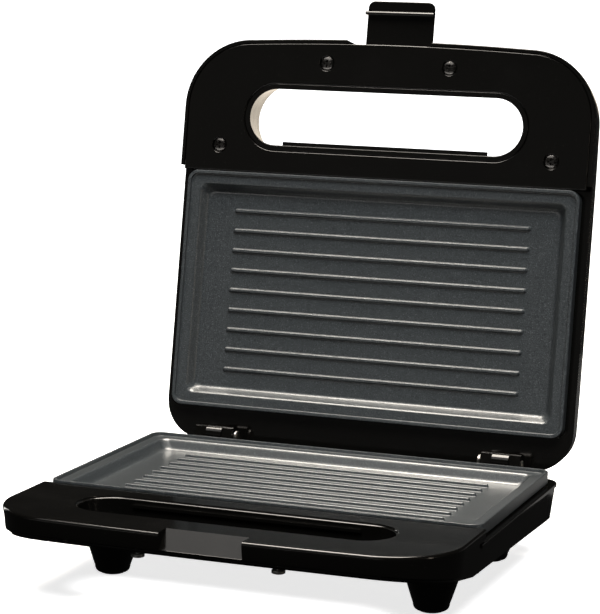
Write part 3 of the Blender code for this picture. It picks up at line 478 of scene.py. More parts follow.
def lid_top(y):
    return softened(y, (
        (LID_FRONT, LID_HEIGHT - LID_FRONT_FALL), (LID_CREST[0], LID_HEIGHT), (LID_CREST[1], LID_HEIGHT),
        (LID_BACK, LID_HEIGHT - LID_BACK_FALL),
    ))


# ---- plates ----
def rib_height(x, y):
    """Height of the cooking face above its floor: ribs with round ends, a round crown and soft feet."""
    nearest = RIB_FIRST + RIB_PITCH * min(max(round((y - RIB_FIRST) / RIB_PITCH), 0), RIB_COUNT - 1)
    away = math.hypot(max(abs(x) - RIB_STRAIGHT, 0.0), y - nearest)
    return between(min(away, RIB_REACH), RIB_SECTION)


def make_plate_mesh(name):
    """A cast plate in the base's attitude: lip at Z = 0, ribbed cooking face below it."""
    slope = LIP_WIDTH + FLANGE_WIDTH
    section = [(0.0, PLATE_SKIRT), (0.0, 0.45), (0.14, 0.14), (0.45, 0.0), (LIP_WIDTH - 0.45, 0.0)]
    section += [(LIP_WIDTH - 0.14, 0.14), (LIP_WIDTH, 0.45), (LIP_WIDTH, LIP_DROP - 0.5)]
    section += [(LIP_WIDTH + 0.15, LIP_DROP - 0.15), (LIP_WIDTH + 0.5, LIP_DROP), (slope - 0.6, LIP_DROP)]
    section += [(slope, LIP_DROP + 0.12), (slope + 0.6, LIP_DROP + 0.6), (slope + 1.2, LIP_DROP + 1.5)]
    section += [(slope + 2.4, PLATE_FLOOR - 2.0), (slope + 3.0, PLATE_FLOOR - 1.0)]
    section += [(slope + 3.7, PLATE_FLOOR - 0.35), (slope + 4.5, PLATE_FLOOR - 0.06)]
    section.append((slope + 5.2, PLATE_FLOOR))
    under = [(LIP_WIDTH - 0.2, PLATE_SKIRT), (LIP_WIDTH - 0.1, LIP_DROP + 2.0), (slope - 0.8, LIP_DROP + 2.0)]
    under.append((slope + 3.0, PLATE_FLOOR + PLATE_THICKNESS))
    section = under[::-1] + section
    bm = bmesh.new()
    rows = skin(bm, [[(x, y, -depth) for x, y in plate_outline(inset)] for inset, depth in section])
    bm.faces.new(rows[0])
    bmesh.ops.triangle_fill(bm, use_beauty=True, edges=loop_edges(bm, rows[-1]) + cooking_face(bm))
    return mesh_object(name, bm)


def loop_edges(bm, loop):
    return [bm.edges.get((loop[i - 1], loop[i])) for i in range(len(loop))]


def cooking_face(bm):
    """A grid with lines close together at the ribs. Returns the edges round it."""
    offsets = [away for away, height in RIB_SECTION if away < RIB_REACH]
    across = {-FACE_HALF_WIDTH, 0.0, FACE_HALF_WIDTH}
    across |= {side * (RIB_STRAIGHT + away) for away in offsets for side in (-1, 1)}
    along = {-FACE_HALF_DEPTH, FACE_HALF_DEPTH}
    for i in range(RIB_COUNT):
        along |= {RIB_FIRST + RIB_PITCH * i + side * away for away in offsets for side in (-1, 1)}
    across, along = sorted(across), sorted(along)
    grid = [[bm.verts.new((x, y, rib_height(x, y) - PLATE_FLOOR)) for x in across] for y in along]
    for low, high in zip(grid, grid[1:]):
        for i in range(len(across) - 1):
            bm.faces.new((low[i], low[i + 1], high[i + 1], high[i]))
    border = grid[0] + [row[-1] for row in grid[1:]] + grid[-1][-2::-1] + [row[0] for row in grid[-2:0:-1]]
    return loop_edges(bm, border)


# ---- base ----
def inset_at(z):
    return DRAFT * (HANDLE_TOP - z)


def level_loft(outline, levels, surface, name="tool"):
    """A loft whose levels are ("at", z, inset), or ("from", offset, inset) measured from a surface."""
    rings = []
    for kind, value, inset in levels:
        rings.append([
            (x, y, value if kind == "at" else surface(y) + value) for x, y in outline(inset)
        ])
    return loft(rings, name, flat_ends=False)


def notch_tool(grow):
    """The ramp in the handle's front edge where the latch comes down."""
    back, deep = NOTCH_BACK + grow, NOTCH_FLOOR - grow
    foot = back + deep - HANDLE_TOP
    outline = ((back, ABOVE), (back, HANDLE_TOP), (foot, deep), (-BEYOND, deep), (-BEYOND, ABOVE))
    return prism(outline, -NOTCH_HALF_WIDTH - grow, NOTCH_HALF_WIDTH + grow, "X")


def make_handle_cover():
    """The base's handle: a cap with a finger slot, a latch notch and a skirt down to the housing's floor."""
    top, foot = HANDLE_TOP, FLOOR_LIP + GAP
    levels = [("at", top - depth, inset) for depth, inset in fillet(1.4, 6)]
    levels += [("at", top - 2.4, 0.1), ("at", -RIM_STEP, inset_at(-RIM_STEP))]
    levels += [("from", foot + 1.0, inset_at(LIP_BOTTOM)), ("from", foot + 0.2, inset_at(LIP_BOTTOM) + 0.25)]
    levels += [("from", foot, inset_at(LIP_BOTTOM) + 0.7)]
    cover = level_loft(base_outline, levels, base_bottom, "handle_cover_skin")
    cut(cover, block((-BEYOND, HANDLE_BACK, BELOW), (BEYOND, BEYOND, ABOVE)))
    cut(cover, block((-BEYOND, SEAM_Y, BELOW), (BEYOND, BEYOND, -RIM_STEP + GAP)))
    inside = level_loft(base_outline, (
        ("at", top - WALL, WALL + 0.4), ("from", foot - 5.0, inset_at(LIP_BOTTOM) + WALL),
    ), base_bottom)
    cut(inside, block((-BEYOND, HANDLE_BACK - WALL, BELOW), (BEYOND, BEYOND, ABOVE)))
    cut(inside, prism(base_slot(-WALL), BELOW, ABOVE), notch_tool(WALL))
    cut(cover, inside)
    cut(cover, opening(base_slot, BELOW, top, 0.0, 1.2), notch_tool(0.0))
    return join(cover, slot_bar(SLOT_BACK, top - 4.6))


def slot_bar(back, low):
    """The straight bar along the back of a finger slot."""
    high, nose, round_off = low + 1.8, back - BAR_REACH, 0.35
    outline = [(back + 1.0, low), (nose + round_off, low), (nose + 0.1, low + 0.1), (nose, low + round_off)]
    outline += [(nose, high - round_off), (nose + 0.1, high - 0.1), (nose + round_off, high)]
    outline.append((back + 1.0, high))
    return prism(outline, -SLOT_BAR_HALF, SLOT_BAR_HALF, "X")


def lug_outline():
    root_y = BASE_BACK - 2.6
    eye = arc((HINGE.y, HINGE.z), EAR_RADIUS, -52, 120, 24)
    return eye + [(root_y, -RIM_STEP - 0.4), (root_y, -RIM_STEP - 8.0), (BASE_BACK - 0.8, -RIM_STEP - 8.0)]


def seam_chamfer(side):
    """A small chamfer down the housing's front edge, beside the handle cover."""
    y, size = SEAM_Y + GAP, 0.9
    rings = []
    for z in (SEAM_BOTTOM - 2.0, 1.0 - RIM_STEP):
        x = BASE_HALF_WIDTH - inset_at(z)
        plan = ((x - size - 0.5, y - 0.5), (x + 0.5, y - 0.5), (x + 0.5, y + size + 0.5))
        rings.append([(side * a, b, z) for a, b in plan])
    return loft(rings)


def make_housing():
    """The base's lower casing, with a ledge under the plate and hinge lugs behind its rear wall."""
    rim = -RIM_STEP
    low = inset_at(BACK_BOTTOM)
    levels = [("at", rim - depth, inset) for depth, inset in fillet(0.5, 3)]
    levels += [("at", rim - 1.8, 0.0), ("at", rim - 1.95, 0.08), ("at", rim - 2.3, inset_at(rim - 1.5))]
    levels += [("from", 1.3 - depth, low + 1.3 - inset) for inset, depth in fillet(1.3, 5)[::-1]]
    outer = level_loft(base_outline, levels, base_bottom, "base_housing_skin")
    floor_line = [(y, base_bottom(y) + FLOOR_LIP) for y in (-BEYOND, SEAM_Y + GAP)]
    cut(outer, prism(floor_line + [(SEAM_Y + GAP, ABOVE), (-BEYOND, ABOVE)], -BEYOND, BEYOND, "X"))
    inside = level_loft(base_outline, (
        ("at", rim - LEDGE_THICKNESS, 0.8 + WALL), ("from", WALL, low + WALL),
    ), base_bottom)
    mouth = prism(plate_outline(LEDGE_INSET), rim - LEDGE_THICKNESS - 0.2, rim + 5.0)
    cut(outer, inside, mouth, prism(base_slot(0.0), BELOW, ABOVE), seam_chamfer(-1), seam_chamfer(1))
    for side in (-1, 1):
        for offset in (-1, 1):
            x = side * HINGE_X + offset * (EAR_WIDTH + LUG_WIDTH + 2 * GAP) / 2
            join(outer, prism(lug_outline(), x - LUG_WIDTH / 2, x + LUG_WIDTH / 2, "X"))
        cut(outer, bore(PIN_RADIUS + RUNNING, 20, (side * HINGE_X, HINGE.y, HINGE.z), "X", 32))
    for box in FEET.values():
        x, y = middle(box)
        cut(outer, bore(SPIGOT_RADIUS + GAP, 6, (x, y, base_bottom(y) + 2), "Z", 24))
    for x, y in SCREWS:
        cut(outer, bore(1.8, 20, (x, y, -20), "Z", 20))
    return cut(outer, bore(GLAND_RADIUS + GAP, 8, (GLAND[0], BASE_BACK, GLAND[1]), "Y"))


def make_foot(where):
    """A tapered foot whose top follows the sloping underside."""
    tip = FEET[where][0].z

    def ring(radius, rise=0.0, height=0.0, share=0.0):
        """A circle that lies below the underside, or at a height, or between them by a share."""
        return [
            (x, y, (base_bottom(y) - GAP + rise) * (1 - share) + height * share)
            for x, y in circle(radius, middle(FEET[where]), 56)
        ]

    shoulder, round_off = tip + 3.0, 1.9
    top, bottom = FOOT_TOP_RADIUS - 0.3, FOOT_TIP_RADIUS + 0.8
    rings = [ring(SPIGOT_RADIUS, GAP + WALL - 0.4), ring(SPIGOT_RADIUS), ring(FOOT_TOP_RADIUS - 0.5)]
    rings += [ring(FOOT_TOP_RADIUS), ring(FOOT_TOP_RADIUS - 0.1, -0.6)]
    rings += [ring(top + (bottom - top) * i / 7, -0.9, shoulder, i / 7) for i in range(1, 7)]
    for i in range(7):
        a = math.radians(90 * i / 6)
        radius = FOOT_TIP_RADIUS - 1.2 + round_off * math.cos(a)
        rings.append(ring(radius, 0.0, shoulder - (shoulder - tip) * math.sin(a), 1.0))
    socket = PAD_RADIUS + GAP
    rings += [ring(socket, 0.0, tip, 1.0), ring(socket, 0.0, tip + 2.4, 1.0)]
    return loft(rings, f"foot_{where}_skin")


def make_pad(where):
    """A rubber disc in the foot's socket, with a shallow dish in its underside."""
    x, y = middle(FEET[where])
    tip = FEET[where][0].z
    bottom = tip - PAD_STANDS
    profile = [(0.6, bottom + 0.25), (PAD_RADIUS - 2.6, bottom + 0.25), (PAD_RADIUS - 2.4, bottom)]
    profile += [(PAD_RADIUS - 0.6, bottom), (PAD_RADIUS - 0.15, bottom + 0.18), (PAD_RADIUS, bottom + 0.6)]
    profile.append((PAD_RADIUS, tip + 2.0))
    return turned(profile, (x, y, 0), name=f"foot_pad_{where}_skin")


# ---- lid ----
def shell_form(grow, low):
    """The lid's outer form, or its inside when grow is the wall's thickness."""
    def ring(inset, nominal):
        weight = min(max((nominal - 16.0) / 9.0, 0.0), 1.0)
        return [(x, y, nominal + weight * (lid_top(y) - LID_HEIGHT)) for x, y in lid_outline(inset)]

    if grow:
        section = [(0.7 + grow, low), (1.7 + grow, 16.0), (3.0 + 1.1 * grow, LID_HEIGHT - 6.6)]
        section += [(7.3 + grow, LID_HEIGHT - 1.4 - grow), (15.0 + grow, LID_HEIGHT - grow)]
    else:
        section = [(inset, low + depth) for depth, inset in fillet(0.55, 4)] + [(0.3, 5.0)]
        crown = ((1.7, 16.0), (2.9, LID_HEIGHT - 6.0), (4.8, LID_HEIGHT - 2.4), (8.0, LID_HEIGHT - 0.7))
        section += [tuple(point) for point in through(crown + ((14.0, LID_HEIGHT),), 5)]
    return loft([ring(inset, z) for inset, z in section], "tool", flat_ends=False)


def latch_pocket(grow):
    """The open pocket in the lid's front that the latch swings in."""
    half, back = NOTCH_HALF_WIDTH + 0.5 + grow, PIVOT.y + 6.0 + grow * 0.6
    front = LID_FRONT + 2.2
    outline = [(-half, back), (-half, front)]
    if grow:
        outline += [(-half, -BEYOND), (half, -BEYOND)]
    else:
        edge, beyond = LID_FRONT + 0.6, LID_FRONT - BOW - 1.0
        outline += [(-half - 3.0, edge), (-half - 6.5, beyond), (half + 6.5, beyond), (half + 3.0, edge)]
    outline += [(half, front), (half, back)]
    low = COVER_FACE + COVER_THICKNESS + GAP if grow else -5.0
    return prism(outline[::-1], low, ABOVE)


def slot_tunnel(grow, low, high, low_round=0.0):
    """The lid's finger slot, which widens outwards, as a tool grown by so much."""
    levels = [(low, low_round)]
    if low_round:
        mouth = COVER_FACE + GAP
        levels += [(mouth + low_round - depth, low_round - inset) for inset, depth in fillet(low_round)]
    levels.append((high, 0.0))
    rings = []
    for z, flare in levels:
        wider = grow + flare - SLOT_LIP + SLOT_DRAFT * max(z, 0.0)
        rings.append([(x, y, z) for x, y in stadium(SLOT_LENGTH, LID_SLOT_WIDTH, SLOT_CENTRE_LID, wider)])
    return loft(rings)


def ear_outline():
    y, z = HINGE.y, HINGE.z - PLATE_GAP
    eye = arc((y, z), EAR_RADIUS, 180, 372, 30)
    return eye + [(LID_BACK - 2.6, RIM_STEP + 2.0), (y - EAR_RADIUS, RIM_STEP + 2.0)]


def heel(x):
    """The tail of a hinge ear that meets the housing's rear wall when the lid is fully open."""
    reach = HINGE.y - BASE_BACK - GAP
    tool = block((x - EAR_WIDTH / 2, -reach, -HEEL_REACH), (x + EAR_WIDTH / 2, 2.0, -1.5))
    place = Matrix.Translation((0, HINGE.y, HINGE.z - PLATE_GAP)) @ Matrix.Rotation(LID_OPEN, 4, "X")
    tool.data.transform(place)
    return tool


def make_lid_shell():
    """The lid's outer moulding, with its slot's tunnel, latch pocket, lamp holes and hinge ears."""
    shell = shell_form(0.0, COVER_FACE)
    shell.name = "lid_shell_skin"
    cut(shell, block((-BEYOND, LID_SEAM, BELOW), (BEYOND, BEYOND, RIM_STEP)))
    inside = shell_form(LID_RIM_WALL, RIM_STEP + LEDGE_THICKNESS)
    mouth = prism(lid_outline(LID_RIM_WALL), -5.0, RIM_STEP + LEDGE_THICKNESS + 0.4)
    cut(mouth, block((-BEYOND, LID_SEAM, BELOW), (BEYOND, BEYOND, ABOVE)))
    join(inside, mouth)
    cut(inside, slot_tunnel(WALL, COVER_FACE + COVER_THICKNESS + GAP, ABOVE), latch_pocket(3.5))
    cut(shell, inside)
    join(shell, slab(lambda inset: lid_slot(inset - SLOT_RIM), COVER_FACE + GAP, COVER_FACE + 4.0, 0.4, 0.1))
    cut(shell, prism(plate_outline(LEDGE_INSET), RIM_STEP - 5.0, RIM_STEP + LEDGE_THICKNESS + 0.2))
    cut(shell, slot_tunnel(0.0, -1.0, ABOVE, 0.45), latch_pocket(0.0))
    join(shell, slot_bar(SLOT_BACK - SLOT_LIP, 3.4))
    for side in (-1, 1):
        x = side * HINGE_X
        join(shell, prism(ear_outline(), x - EAR_WIDTH / 2, x + EAR_WIDTH / 2, "X"), heel(x))
        cut(shell, bore(PIN_RADIUS + RUNNING, 20, (x, HINGE.y, HINGE.z - PLATE_GAP), "X", 32))
        cut(shell, bore(LENS_RADIUS + GAP, 15, (side * LAMP_X, LAMP_Y, 35), "Z", 40))
    return cut(shell, bore(LATCH_PIN_RADIUS + RUNNING, 30, (0, PIVOT.y, PIVOT.z), "X", 24))


def make_lid_cover():
    """The inner cover of the lid's handle, with a counterbored well for each screw."""
    face, back = COVER_FACE, COVER_FACE + COVER_THICKNESS
    edge = LID_RIM_WALL + 0.35
    cover = slab(lambda inset: lid_outline(edge + inset), face, back, 0.6, 0.1, "lid_cover_skin")
    round_off = 0.6
    trim = [(HANDLE_BACK - round_off, BELOW)]
    trim += [(HANDLE_BACK - inset, face + depth) for depth, inset in fillet(round_off)]
    trim += [(HANDLE_BACK, ABOVE), (BEYOND, ABOVE), (BEYOND, BELOW)]
    cut(cover, prism(trim, -BEYOND, BEYOND, "X"))
    half = LID_HALF_WIDTH - LID_RIM_WALL - 3.0
    join(cover, block((-half, LID_SEAM - 0.1, back - 1.0), (half, HANDLE_BACK - 0.1, RIM_STEP - GAP)))
    cut(cover, opening(lambda inset: lid_slot(inset - SLOT_RIM - GAP), face, back + 1.0, 0.45, 0.0))
    for x, y in SCREWS:
        join(cover, bore(WELL_RADIUS + 1.3, 1.15, (x, y, back + 0.55), "Z", 40))
        well = opening(lambda inset: circle(WELL_RADIUS - inset, (x, y)), face, 5.0, 0.35)
        cut(well, block((-BEYOND, -BEYOND, back + 0.2), (BEYOND, BEYOND, ABOVE)))
        cut(cover, well, bore(1.9, 10, (x, y, 0), "Z", 24))
    return cover


def make_screw(name, centre, head_radius, length):
    """A pan-head screw with a cross recess whose head points down and shank points up."""
    head = SCREW_HEAD_HEIGHT
    profile = [(0.3, -head)]
    profile += [
        (head_radius * math.sin(a), -head * (0.66 + 0.34 * math.cos(a) ** 1.4))
        for a in (math.radians(12 + 78 * i / 7) for i in range(8))
    ]
    profile += [(head_radius, -0.15), (head_radius - 0.2, 0.0), (SHANK_RADIUS, 0.0)]
    profile += [(SHANK_RADIUS, length - 1.2), (SHANK_RADIUS * 0.3, length)]
    body = turned(profile, centre, sides=40, name=name)
    long, across = head_radius * 0.66, 0.5

    def bar(turn):
        """One bar of the cross recess, which narrows towards its bottom."""
        def level(a, b, z):
            return [(-a, -b, z), (a, -b, z), (a, b, z), (-a, b, z)]

        tool = loft([level(long * 0.55, across * 0.8, 1.3 - head), level(long, across, -head - 0.4)])
        tool.data.transform(Matrix.Translation(centre) @ Matrix.Rotation(turn, 4, "Z"))
        return tool

    return cut(body, join(bar(0.0), bar(math.pi / 2)))


def make_lens(colour, side):
    """A domed lamp lens with a flange behind the lid's wall."""
    top = lid_top(LAMP_Y)
    low = top - LID_RIM_WALL - 0.5
    flange = LENS_RADIUS + 1.6
    profile = [(flange, low - 1.2), (flange, low), (LENS_RADIUS, low)]
    turns = [math.radians(85 * i / 7) for i in range(8)]
    profile += [(LENS_RADIUS * math.cos(a), top + 0.3 + math.sin(a)) for a in turns]
    return turned(profile, (side * LAMP_X, LAMP_Y, 0), name=colour + "_lens_skin")


def make_latch():
    """A swinging clip: two arms on the pin, a plate, a hook ridge across it and a finger tip."""
    py, pz = PIVOT.y, PIVOT.z
    inner, outer = py - LATCH_STANDOFF, py - LATCH_STANDOFF - LATCH_THICKNESS
    hook = -LIP_BOTTOM + PLATE_GAP + LATCH_PLAY
    root, tip = pz + 5.2, -hook - LATCH_TIP
    half, corner = LATCH_HALF_WIDTH, 4.0

    def face(inset):
        r = corner - inset
        w = half - inset
        points = [(-w, root - inset), (w, root - inset)]
        points += arc((w - r, tip + corner), r, 0, -90, 12)
        return points + arc((-w + r, tip + corner), r, -90, -180, 12)

    levels = [(outer + depth, inset) for depth, inset in fillet(0.6)]
    levels += [(inner - depth, inset) for depth, inset in fillet(0.5)[::-1]]
    latch = loft([[(x, level, z) for x, z in face(inset)] for level, inset in levels], "latch_skin")
    nose = inner + RIDGE_DEPTH
    ridge = [(inner - 0.8, -hook), (nose - 0.35, -hook), (nose - 0.1, -hook - 0.1), (nose, -hook - 0.35)]
    ridge += [(nose, -hook - 1.1), (nose - 0.3, -hook - 1.6), (nose - 0.9, -hook - RIDGE_THICKNESS)]
    ridge += [(inner - 0.8, -hook - RIDGE_THICKNESS)]
    join(latch, prism(ridge, -half - 0.4, half + 0.4, "X"))
    for side in (-1, 1):
        arm = arc((py, pz), 3.9, -75, 100, 24) + [(inner - 0.8, root - 0.6), (inner - 0.8, pz - 5.0)]
        low, high = sorted((side * (half - 0.5), side * (half - 4.5)))
        join(latch, prism(arm, low, high, "X"))
    return cut(latch, bore(LATCH_PIN_RADIUS + RUNNING, 30, (0, py, pz), "X", 24))


# ---- materials ----
def new_material(name):
    made = bpy.data.materials.new(name)
    made.use_nodes = True
    tree = made.node_tree
    return made, tree, tree.nodes["Principled BSDF"]


def set_constants(shader, **values):
    for label, value in values.items():
        shader.inputs[label.replace("_", " ")].default_value = value


def noise(tree, scale, detail=2.0, roughness=0.5, stretch=(1, 1, 1)):
    """A noise texture in the object's own coordinates, in features per metre. Returns its value."""
    place = tree.nodes.new("ShaderNodeTexCoord")
    mapping = tree.nodes.new("ShaderNodeMapping")
    mapping.inputs["Scale"].default_value = stretch
    texture = tree.nodes.new("ShaderNodeTexNoise")
    texture.inputs["Scale"].default_value = scale
    texture.inputs["Detail"].default_value = detail
    texture.inputs["Roughness"].default_value = roughness
    tree.links.new(place.outputs["Object"], mapping.inputs["Vector"])
    tree.links.new(mapping.outputs["Vector"], texture.inputs["Vector"])
    return texture.outputs["Fac"]


def specks(tree, scale):
    """Distance to the nearest point of a scatter of points, for grains and flakes."""
    place = tree.nodes.new("ShaderNodeTexCoord")
    texture = tree.nodes.new("ShaderNodeTexVoronoi")
    texture.inputs["Scale"].default_value = scale
    tree.links.new(place.outputs["Object"], texture.inputs["Vector"])
    return texture


def spread(tree, source, low, high, to_low, to_high):
    """Maps a value from one range to another, clamped."""
    node = tree.nodes.new("ShaderNodeMapRange")
    for label, value in (("From Min", low), ("From Max", high), ("To Min", to_low), ("To Max", to_high)):
        node.inputs[label].default_value = value
    tree.links.new(source, node.inputs["Value"])
    return node.outputs["Result"]


def tint(tree, source, dark, light, low=0.35, high=0.65):
    """A colour between two, by a value."""
    ramp = tree.nodes.new("ShaderNodeValToRGB")
    ramp.color_ramp.elements[0].position = low
    ramp.color_ramp.elements[0].color = (*dark, 1)
    ramp.color_ramp.elements[1].position = high
    ramp.color_ramp.elements[1].color = (*light, 1)
    tree.links.new(source, ramp.inputs["Fac"])
    return ramp.outputs["Color"]


def bumps(tree, shader, *layers):
    """Chains bump layers of (height, strength, distance in metres) into the shader's normal."""
    normal = None
    for height, strength, distance in layers:
        node = tree.nodes.new("ShaderNodeBump")
        node.inputs["Strength"].default_value = strength
        node.inputs["Distance"].default_value = distance
        tree.links.new(height, node.inputs["Height"])
        if normal is not None:
            tree.links.new(normal, node.inputs["Normal"])
        normal = node.outputs["Normal"]
    tree.links.new(normal, shader.inputs["Normal"])


def gloss_black():
    """Polished moulded plastic: deep warm black, slight waviness, faint smudges and a few dust specks."""
    made, tree, shader = new_material("gloss_black_plastic")
    set_constants(shader, IOR=1.5, Coat_Weight=0.25, Coat_Roughness=0.06)
    smudge = noise(tree, 34.0, 4.0, 0.62)
    dust = specks(tree, 260.0).outputs["Distance"]
    colour = tint(tree, dust, (0.01, 0.0095, 0.0085), (0.0016, 0.0015, 0.0013), 0.035, 0.07)
    tree.links.new(colour, shader.inputs["Base Color"])
    rough = spread(tree, smudge, 0.35, 0.7, 0.11, 0.23)
    tree.links.new(rough, shader.inputs["Roughness"])
    bumps(tree, shader, (noise(tree, 85.0, 1.0), 0.05, 0.0006), (noise(tree, 1400.0, 2.0), 0.02, 0.0001))
    return made


def nonstick():
    """Sprayed non-stick coating over cast aluminium: blue-grey, pebbled, with fine pale flakes."""
    made, tree, shader = new_material("nonstick_coating")
    set_constants(shader, Metallic=0.4, IOR=1.5, Coat_Weight=1.0, Coat_Roughness=0.3, Coat_IOR=1.8)
    pebble = specks(tree, 1500.0)
    grain = noise(tree, 1900.0, 3.0, 0.6)
    body = tint(tree, grain, (0.010, 0.013, 0.015), (0.070, 0.079, 0.083), 0.38, 0.64)
    flake = spread(tree, specks(tree, 820.0).outputs["Distance"], 0.10, 0.24, 1.0, 0.0)
    mix = tree.nodes.new("ShaderNodeMix")
    mix.data_type = "RGBA"
    mix.inputs["B"].default_value = (0.26, 0.28, 0.29, 1)
    tree.links.new(spread(tree, flake, 0.0, 1.0, 0.0, 0.5), mix.inputs["Factor"])
    tree.links.new(body, mix.inputs["A"])
    tree.links.new(mix.outputs["Result"], shader.inputs["Base Color"])
    rough = spread(tree, noise(tree, 28.0, 3.0), 0.3, 0.7, 0.34, 0.46)
    tree.links.new(rough, shader.inputs["Roughness"])
    bumps(tree, shader, (pebble.outputs["Distance"], 0.22, 0.0002), (grain, 0.2, 0.00012))
    return made


def metal(name, dark, light, low, high, scale=160.0, stretch=(1, 14, 14)):
    """Bare metal with fine drawn streaks."""
    made, tree, shader = new_material(name)
    set_constants(shader, Metallic=1.0)
    streak = noise(tree, scale, 4.0, 0.6, stretch)
    tree.links.new(tint(tree, streak, dark, light), shader.inputs["Base Color"])
    tree.links.new(spread(tree, streak, 0.3, 0.7, low, high), shader.inputs["Roughness"])
    bumps(tree, shader, (streak, 0.08, 0.0001))
    return made


def rubber():
    made, tree, shader = new_material("black_rubber")
    set_constants(shader, IOR=1.5)
    grain = noise(tree, 900.0, 3.0)
    colour = tint(tree, grain, (0.012, 0.012, 0.012), (0.026, 0.026, 0.025))
    tree.links.new(colour, shader.inputs["Base Color"])
    tree.links.new(spread(tree, grain, 0.3, 0.7, 0.62, 0.8), shader.inputs["Roughness"])
    bumps(tree, shader, (grain, 0.3, 0.0002))
    return made


def ceramic():
    made, tree, shader = new_material("steatite")
    grain = noise(tree, 500.0, 4.0)
    tree.links.new(tint(tree, grain, (0.7, 0.68, 0.6), (0.86, 0.84, 0.78)), shader.inputs["Base Color"])
    tree.links.new(spread(tree, grain, 0.3, 0.7, 0.4, 0.6), shader.inputs["Roughness"])
    bumps(tree, shader, (grain, 0.15, 0.0001))
    return made


def lens(name, dark, light, transmission=0.55):
    """Clear coloured plastic with faint flow lines."""
    made, tree, shader = new_material(name)
    set_constants(shader, Transmission_Weight=transmission, IOR=1.49)
    flow = noise(tree, 220.0, 2.0)
    tree.links.new(tint(tree, flow, dark, light), shader.inputs["Base Color"])
    tree.links.new(spread(tree, flow, 0.3, 0.7, 0.06, 0.12), shader.inputs["Roughness"])
    bumps(tree, shader, (flow, 0.05, 0.0002))
    return made


LOOKS = {
    "black_gloss": gloss_black(),
    "nonstick_plate": nonstick(),
    "steel": metal("plated_steel", (0.46, 0.45, 0.44), (0.66, 0.65, 0.63), 0.26, 0.42),
    # a darker copy of the plated steel; its dark colour is painted shade for the screws sunk in the cover's wells
    "painted_shade_steel": metal("painted_shade_steel", (0.13, 0.125, 0.12), (0.3, 0.29, 0.28), 0.14, 0.28),
    "reflector": metal("rolled_aluminium", (0.6, 0.6, 0.61), (0.78, 0.78, 0.79), 0.28, 0.42),
    "rubber": rubber(),
    "ceramic": ceramic(),
    "red_lens": lens("red_lens", (0.42, 0.01, 0.01), (0.6, 0.02, 0.015)),
    "green_lens": lens("green_lens", (0.02, 0.3, 0.06), (0.04, 0.44, 0.09)),
    "lamp_glass": lens("lamp_glass", (0.8, 0.7, 0.6), (0.9, 0.82, 0.74), 0.85),
}


# ---- placing the pieces ----
def place(piece, matrix, body, node, slot, look=None, angle=32.0):
    """Moves a finished piece into the row frame, gives it its looks and stands it in for its node."""
    piece.data.transform(matrix)
    piece.data.materials.clear()
    piece.data.materials.append(LOOKS[look or slot])
    piece.data.shade_smooth()
    piece.data.set_sharp_from_angle(angle=math.radians(angle))
    weighted = piece.modifiers.new("weighted_normals", "WEIGHTED_NORMAL")
    weighted.keep_sharp = True
    weighted.weight = 60
    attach(piece, body)
    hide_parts(node)


place(make_plate_mesh("lower_plate_skin"), BASE, "base", "lower_plate", "nonstick_plate")
place(make_plate_mesh("upper_plate_skin"), LID_PLATE, "lid", "upper_plate", "nonstick_plate")
place(make_handle_cover(), BASE, "base", "base_handle_cover", "black_gloss")
place(make_housing(), BASE, "base", "base_housing", "black_gloss")
for where in FEET:
    place(make_foot(where), BASE, "base", "foot_" + where, "black_gloss")
    place(make_pad(where), BASE, "base", "foot_pad_" + where, "rubber")
place(make_lid_shell(), LID, "lid", "lid_shell", "black_gloss")
place(make_lid_cover(), LID, "lid", "lid_handle_cover", "black_gloss")
for number, (x, y) in enumerate(SCREWS, 1):
    centre = (x, y, COVER_FACE + COVER_THICKNESS - 0.1)
    screw = make_screw(f"cover_screw_{number}_skin", centre, COVER_SCREW_HEAD, 12.0)
    # the cover screws take the darker steel copy, whose colour paints the shade of their wells
    place(screw, LID, "lid", f"lid_cover_screw_{number}", "steel", "painted_shade_steel")
    centre = (x, y, base_bottom(y) - 0.8)
    screw = make_screw(f"handle_screw_{number}_skin", centre, HANDLE_SCREW_HEAD, 9.0)
    place(screw, BASE, "base", f"base_handle_screw_{number}", "steel")
for side, colour in ((-1, "red"), (1, "green")):
    place(make_lens(colour, side), LID, "lid", colour + "_lens", colour + "_lens")
place(make_latch(), LATCH, "latch", "latch", "black_gloss")

record_slots = {row["node"]: row["material_slot"] for row in frame["record"]["subparts"]}
for name, obj in frame["nodes"].items():
    if not obj.hide_render:
        slot = record_slots[name]
        obj.data.materials.clear()
        obj.data.materials.append(LOOKS[slot])


# ---- floor, lights and camera ----
def make_floor():
    bm = bmesh.new()
    bmesh.ops.create_circle(bm, cap_ends=True, segments=64, radius=30.0)
    floor = mesh_object("floor", bm)
    floor.location.z = cad_low.z - 0.0002
    floor.visible_glossy = False
    floor.visible_diffuse = False
    made, tree, shader = new_material("pale_floor")
    set_constants(shader, Roughness=0.9, Emission_Strength=0.78)
    shader.inputs["Specular IOR Level"].default_value = 0.0
    shader.inputs["Emission Color"].default_value = (1.0, 1.0, 1.0, 1.0)
    tree.links.new(tint(tree, noise(tree, 3.0, 2.0), (0.88, 0.88, 0.88), (0.9, 0.9, 0.9)),
                   shader.inputs["Base Color"])
    floor.data.materials.append(made)


def aimed_light(name, kind, place_at, target, colour, glossy):
    data = bpy.data.lights.new(name, kind)
    data.color = colour
    light = bpy.data.objects.new(name, data)
    bpy.context.scene.collection.objects.link(light)
    light.location = place_at
    light.rotation_euler = (Vector(target) - Vector(place_at)).to_track_quat("-Z", "Y").to_euler()
    light.visible_glossy = glossy
    light.visible_camera = False
    return data


def make_sun(name, strength, place_at, angle, colour=(1.0, 1.0, 1.0)):
    """A wide soft light for matt surfaces, which gloss doesn't mirror."""
    data = aimed_light(name, "SUN", place_at, (0, 0, 0), colour, False)
    data.energy = strength
    data.angle = math.radians(angle)


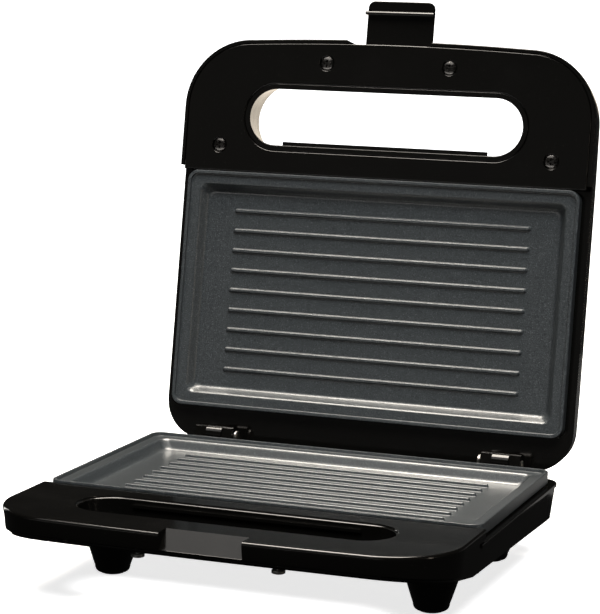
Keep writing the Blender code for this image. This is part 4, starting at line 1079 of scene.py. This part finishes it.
def make_card(name, brightness, place_at, target, width, height, colour=(1.0, 0.97, 0.93)):
    """A rectangular softbox of a given radiance."""
    data = aimed_light(name, "AREA", place_at, target, colour, True)
    data.shape = "RECTANGLE"
    data.size, data.size_y = width, height
    data.energy = brightness * math.pi * width * height


def make_world():
    world = bpy.data.worlds.new("studio")
    world.use_nodes = True
    background = world.node_tree.nodes["Background"]
    background.inputs["Color"].default_value = (0.95, 0.93, 0.88, 1)
    background.inputs["Strength"].default_value = 0.012
    bpy.context.scene.world = world


def make_camera():
    """A long lens from the front right, a little above the press and slightly rolled."""
    azimuth, elevation, roll = math.radians(20.25), math.radians(8.73), math.radians(1.18)
    distance = 1.1701
    back = Vector((math.sin(azimuth) * math.cos(elevation), -math.cos(azimuth) * math.cos(elevation),
                   math.sin(elevation)))
    right = (-back).cross(Vector((0, 0, 1))).normalized()
    up = right.cross(-back)
    rolled_right = right * math.cos(roll) + up * math.sin(roll)
    rolled_up = up * math.cos(roll) - right * math.sin(roll)
    data = bpy.data.cameras.new("camera")
    data.sensor_width = 36.0
    data.lens = 137.26
    data.clip_end = 100.0
    camera = bpy.data.objects.new("camera", data)
    bpy.context.scene.collection.objects.link(camera)
    target = ROW @ Vector((-4.22, 0.0, 85.17))
    turn = Matrix((rolled_right, rolled_up, back)).transposed().to_4x4()
    camera.matrix_world = Matrix.Translation(target + back * distance) @ turn
    bpy.context.scene.camera = camera


make_floor()
make_world()
make_sun("key", 5.6, (0.5, -1.0, 1.5), 30.0)
make_card("overhead", 16.0, (-0.15, 0.14, 1.05), (-0.05, 0.05, 0.12), 0.75, 0.5, (1.0, 0.92, 0.82))
make_card("front_overhead", 1.1, (-0.3, -0.45, 1.0), (0, -0.1, 0.1), 0.8, 0.5)
make_card("left_strip", 4.0, (-1.0, 0.45, 0.2), (0, 0, 0.13), 0.12, 0.6)
make_card("right_strip", 3.0, (1.0, -0.3, 0.15), (0, 0, 0.13), 0.08, 0.6, (1.0, 0.86, 0.7))
make_card("front_card", 0.05, (-0.8, -2.0, 0.55), (0, 0, 0.2), 2.0, 0.7)
make_card("floor_card", 1.3, (-0.35, -0.85, 0.002), (-0.35, -0.85, 1.0), 1.0, 0.7)
make_card("rear_card", 1.3, (-0.26, 1.3, 0.05), (0, 0, 0.2), 0.5, 0.4, (1.0, 0.88, 0.72))
make_card("back_floor_card", 0.22, (0.32, 0.42, 0.002), (0.32, 0.42, 1.0), 0.42, 0.5)
make_camera()
bpy.context.scene.view_settings.view_transform = "Standard"
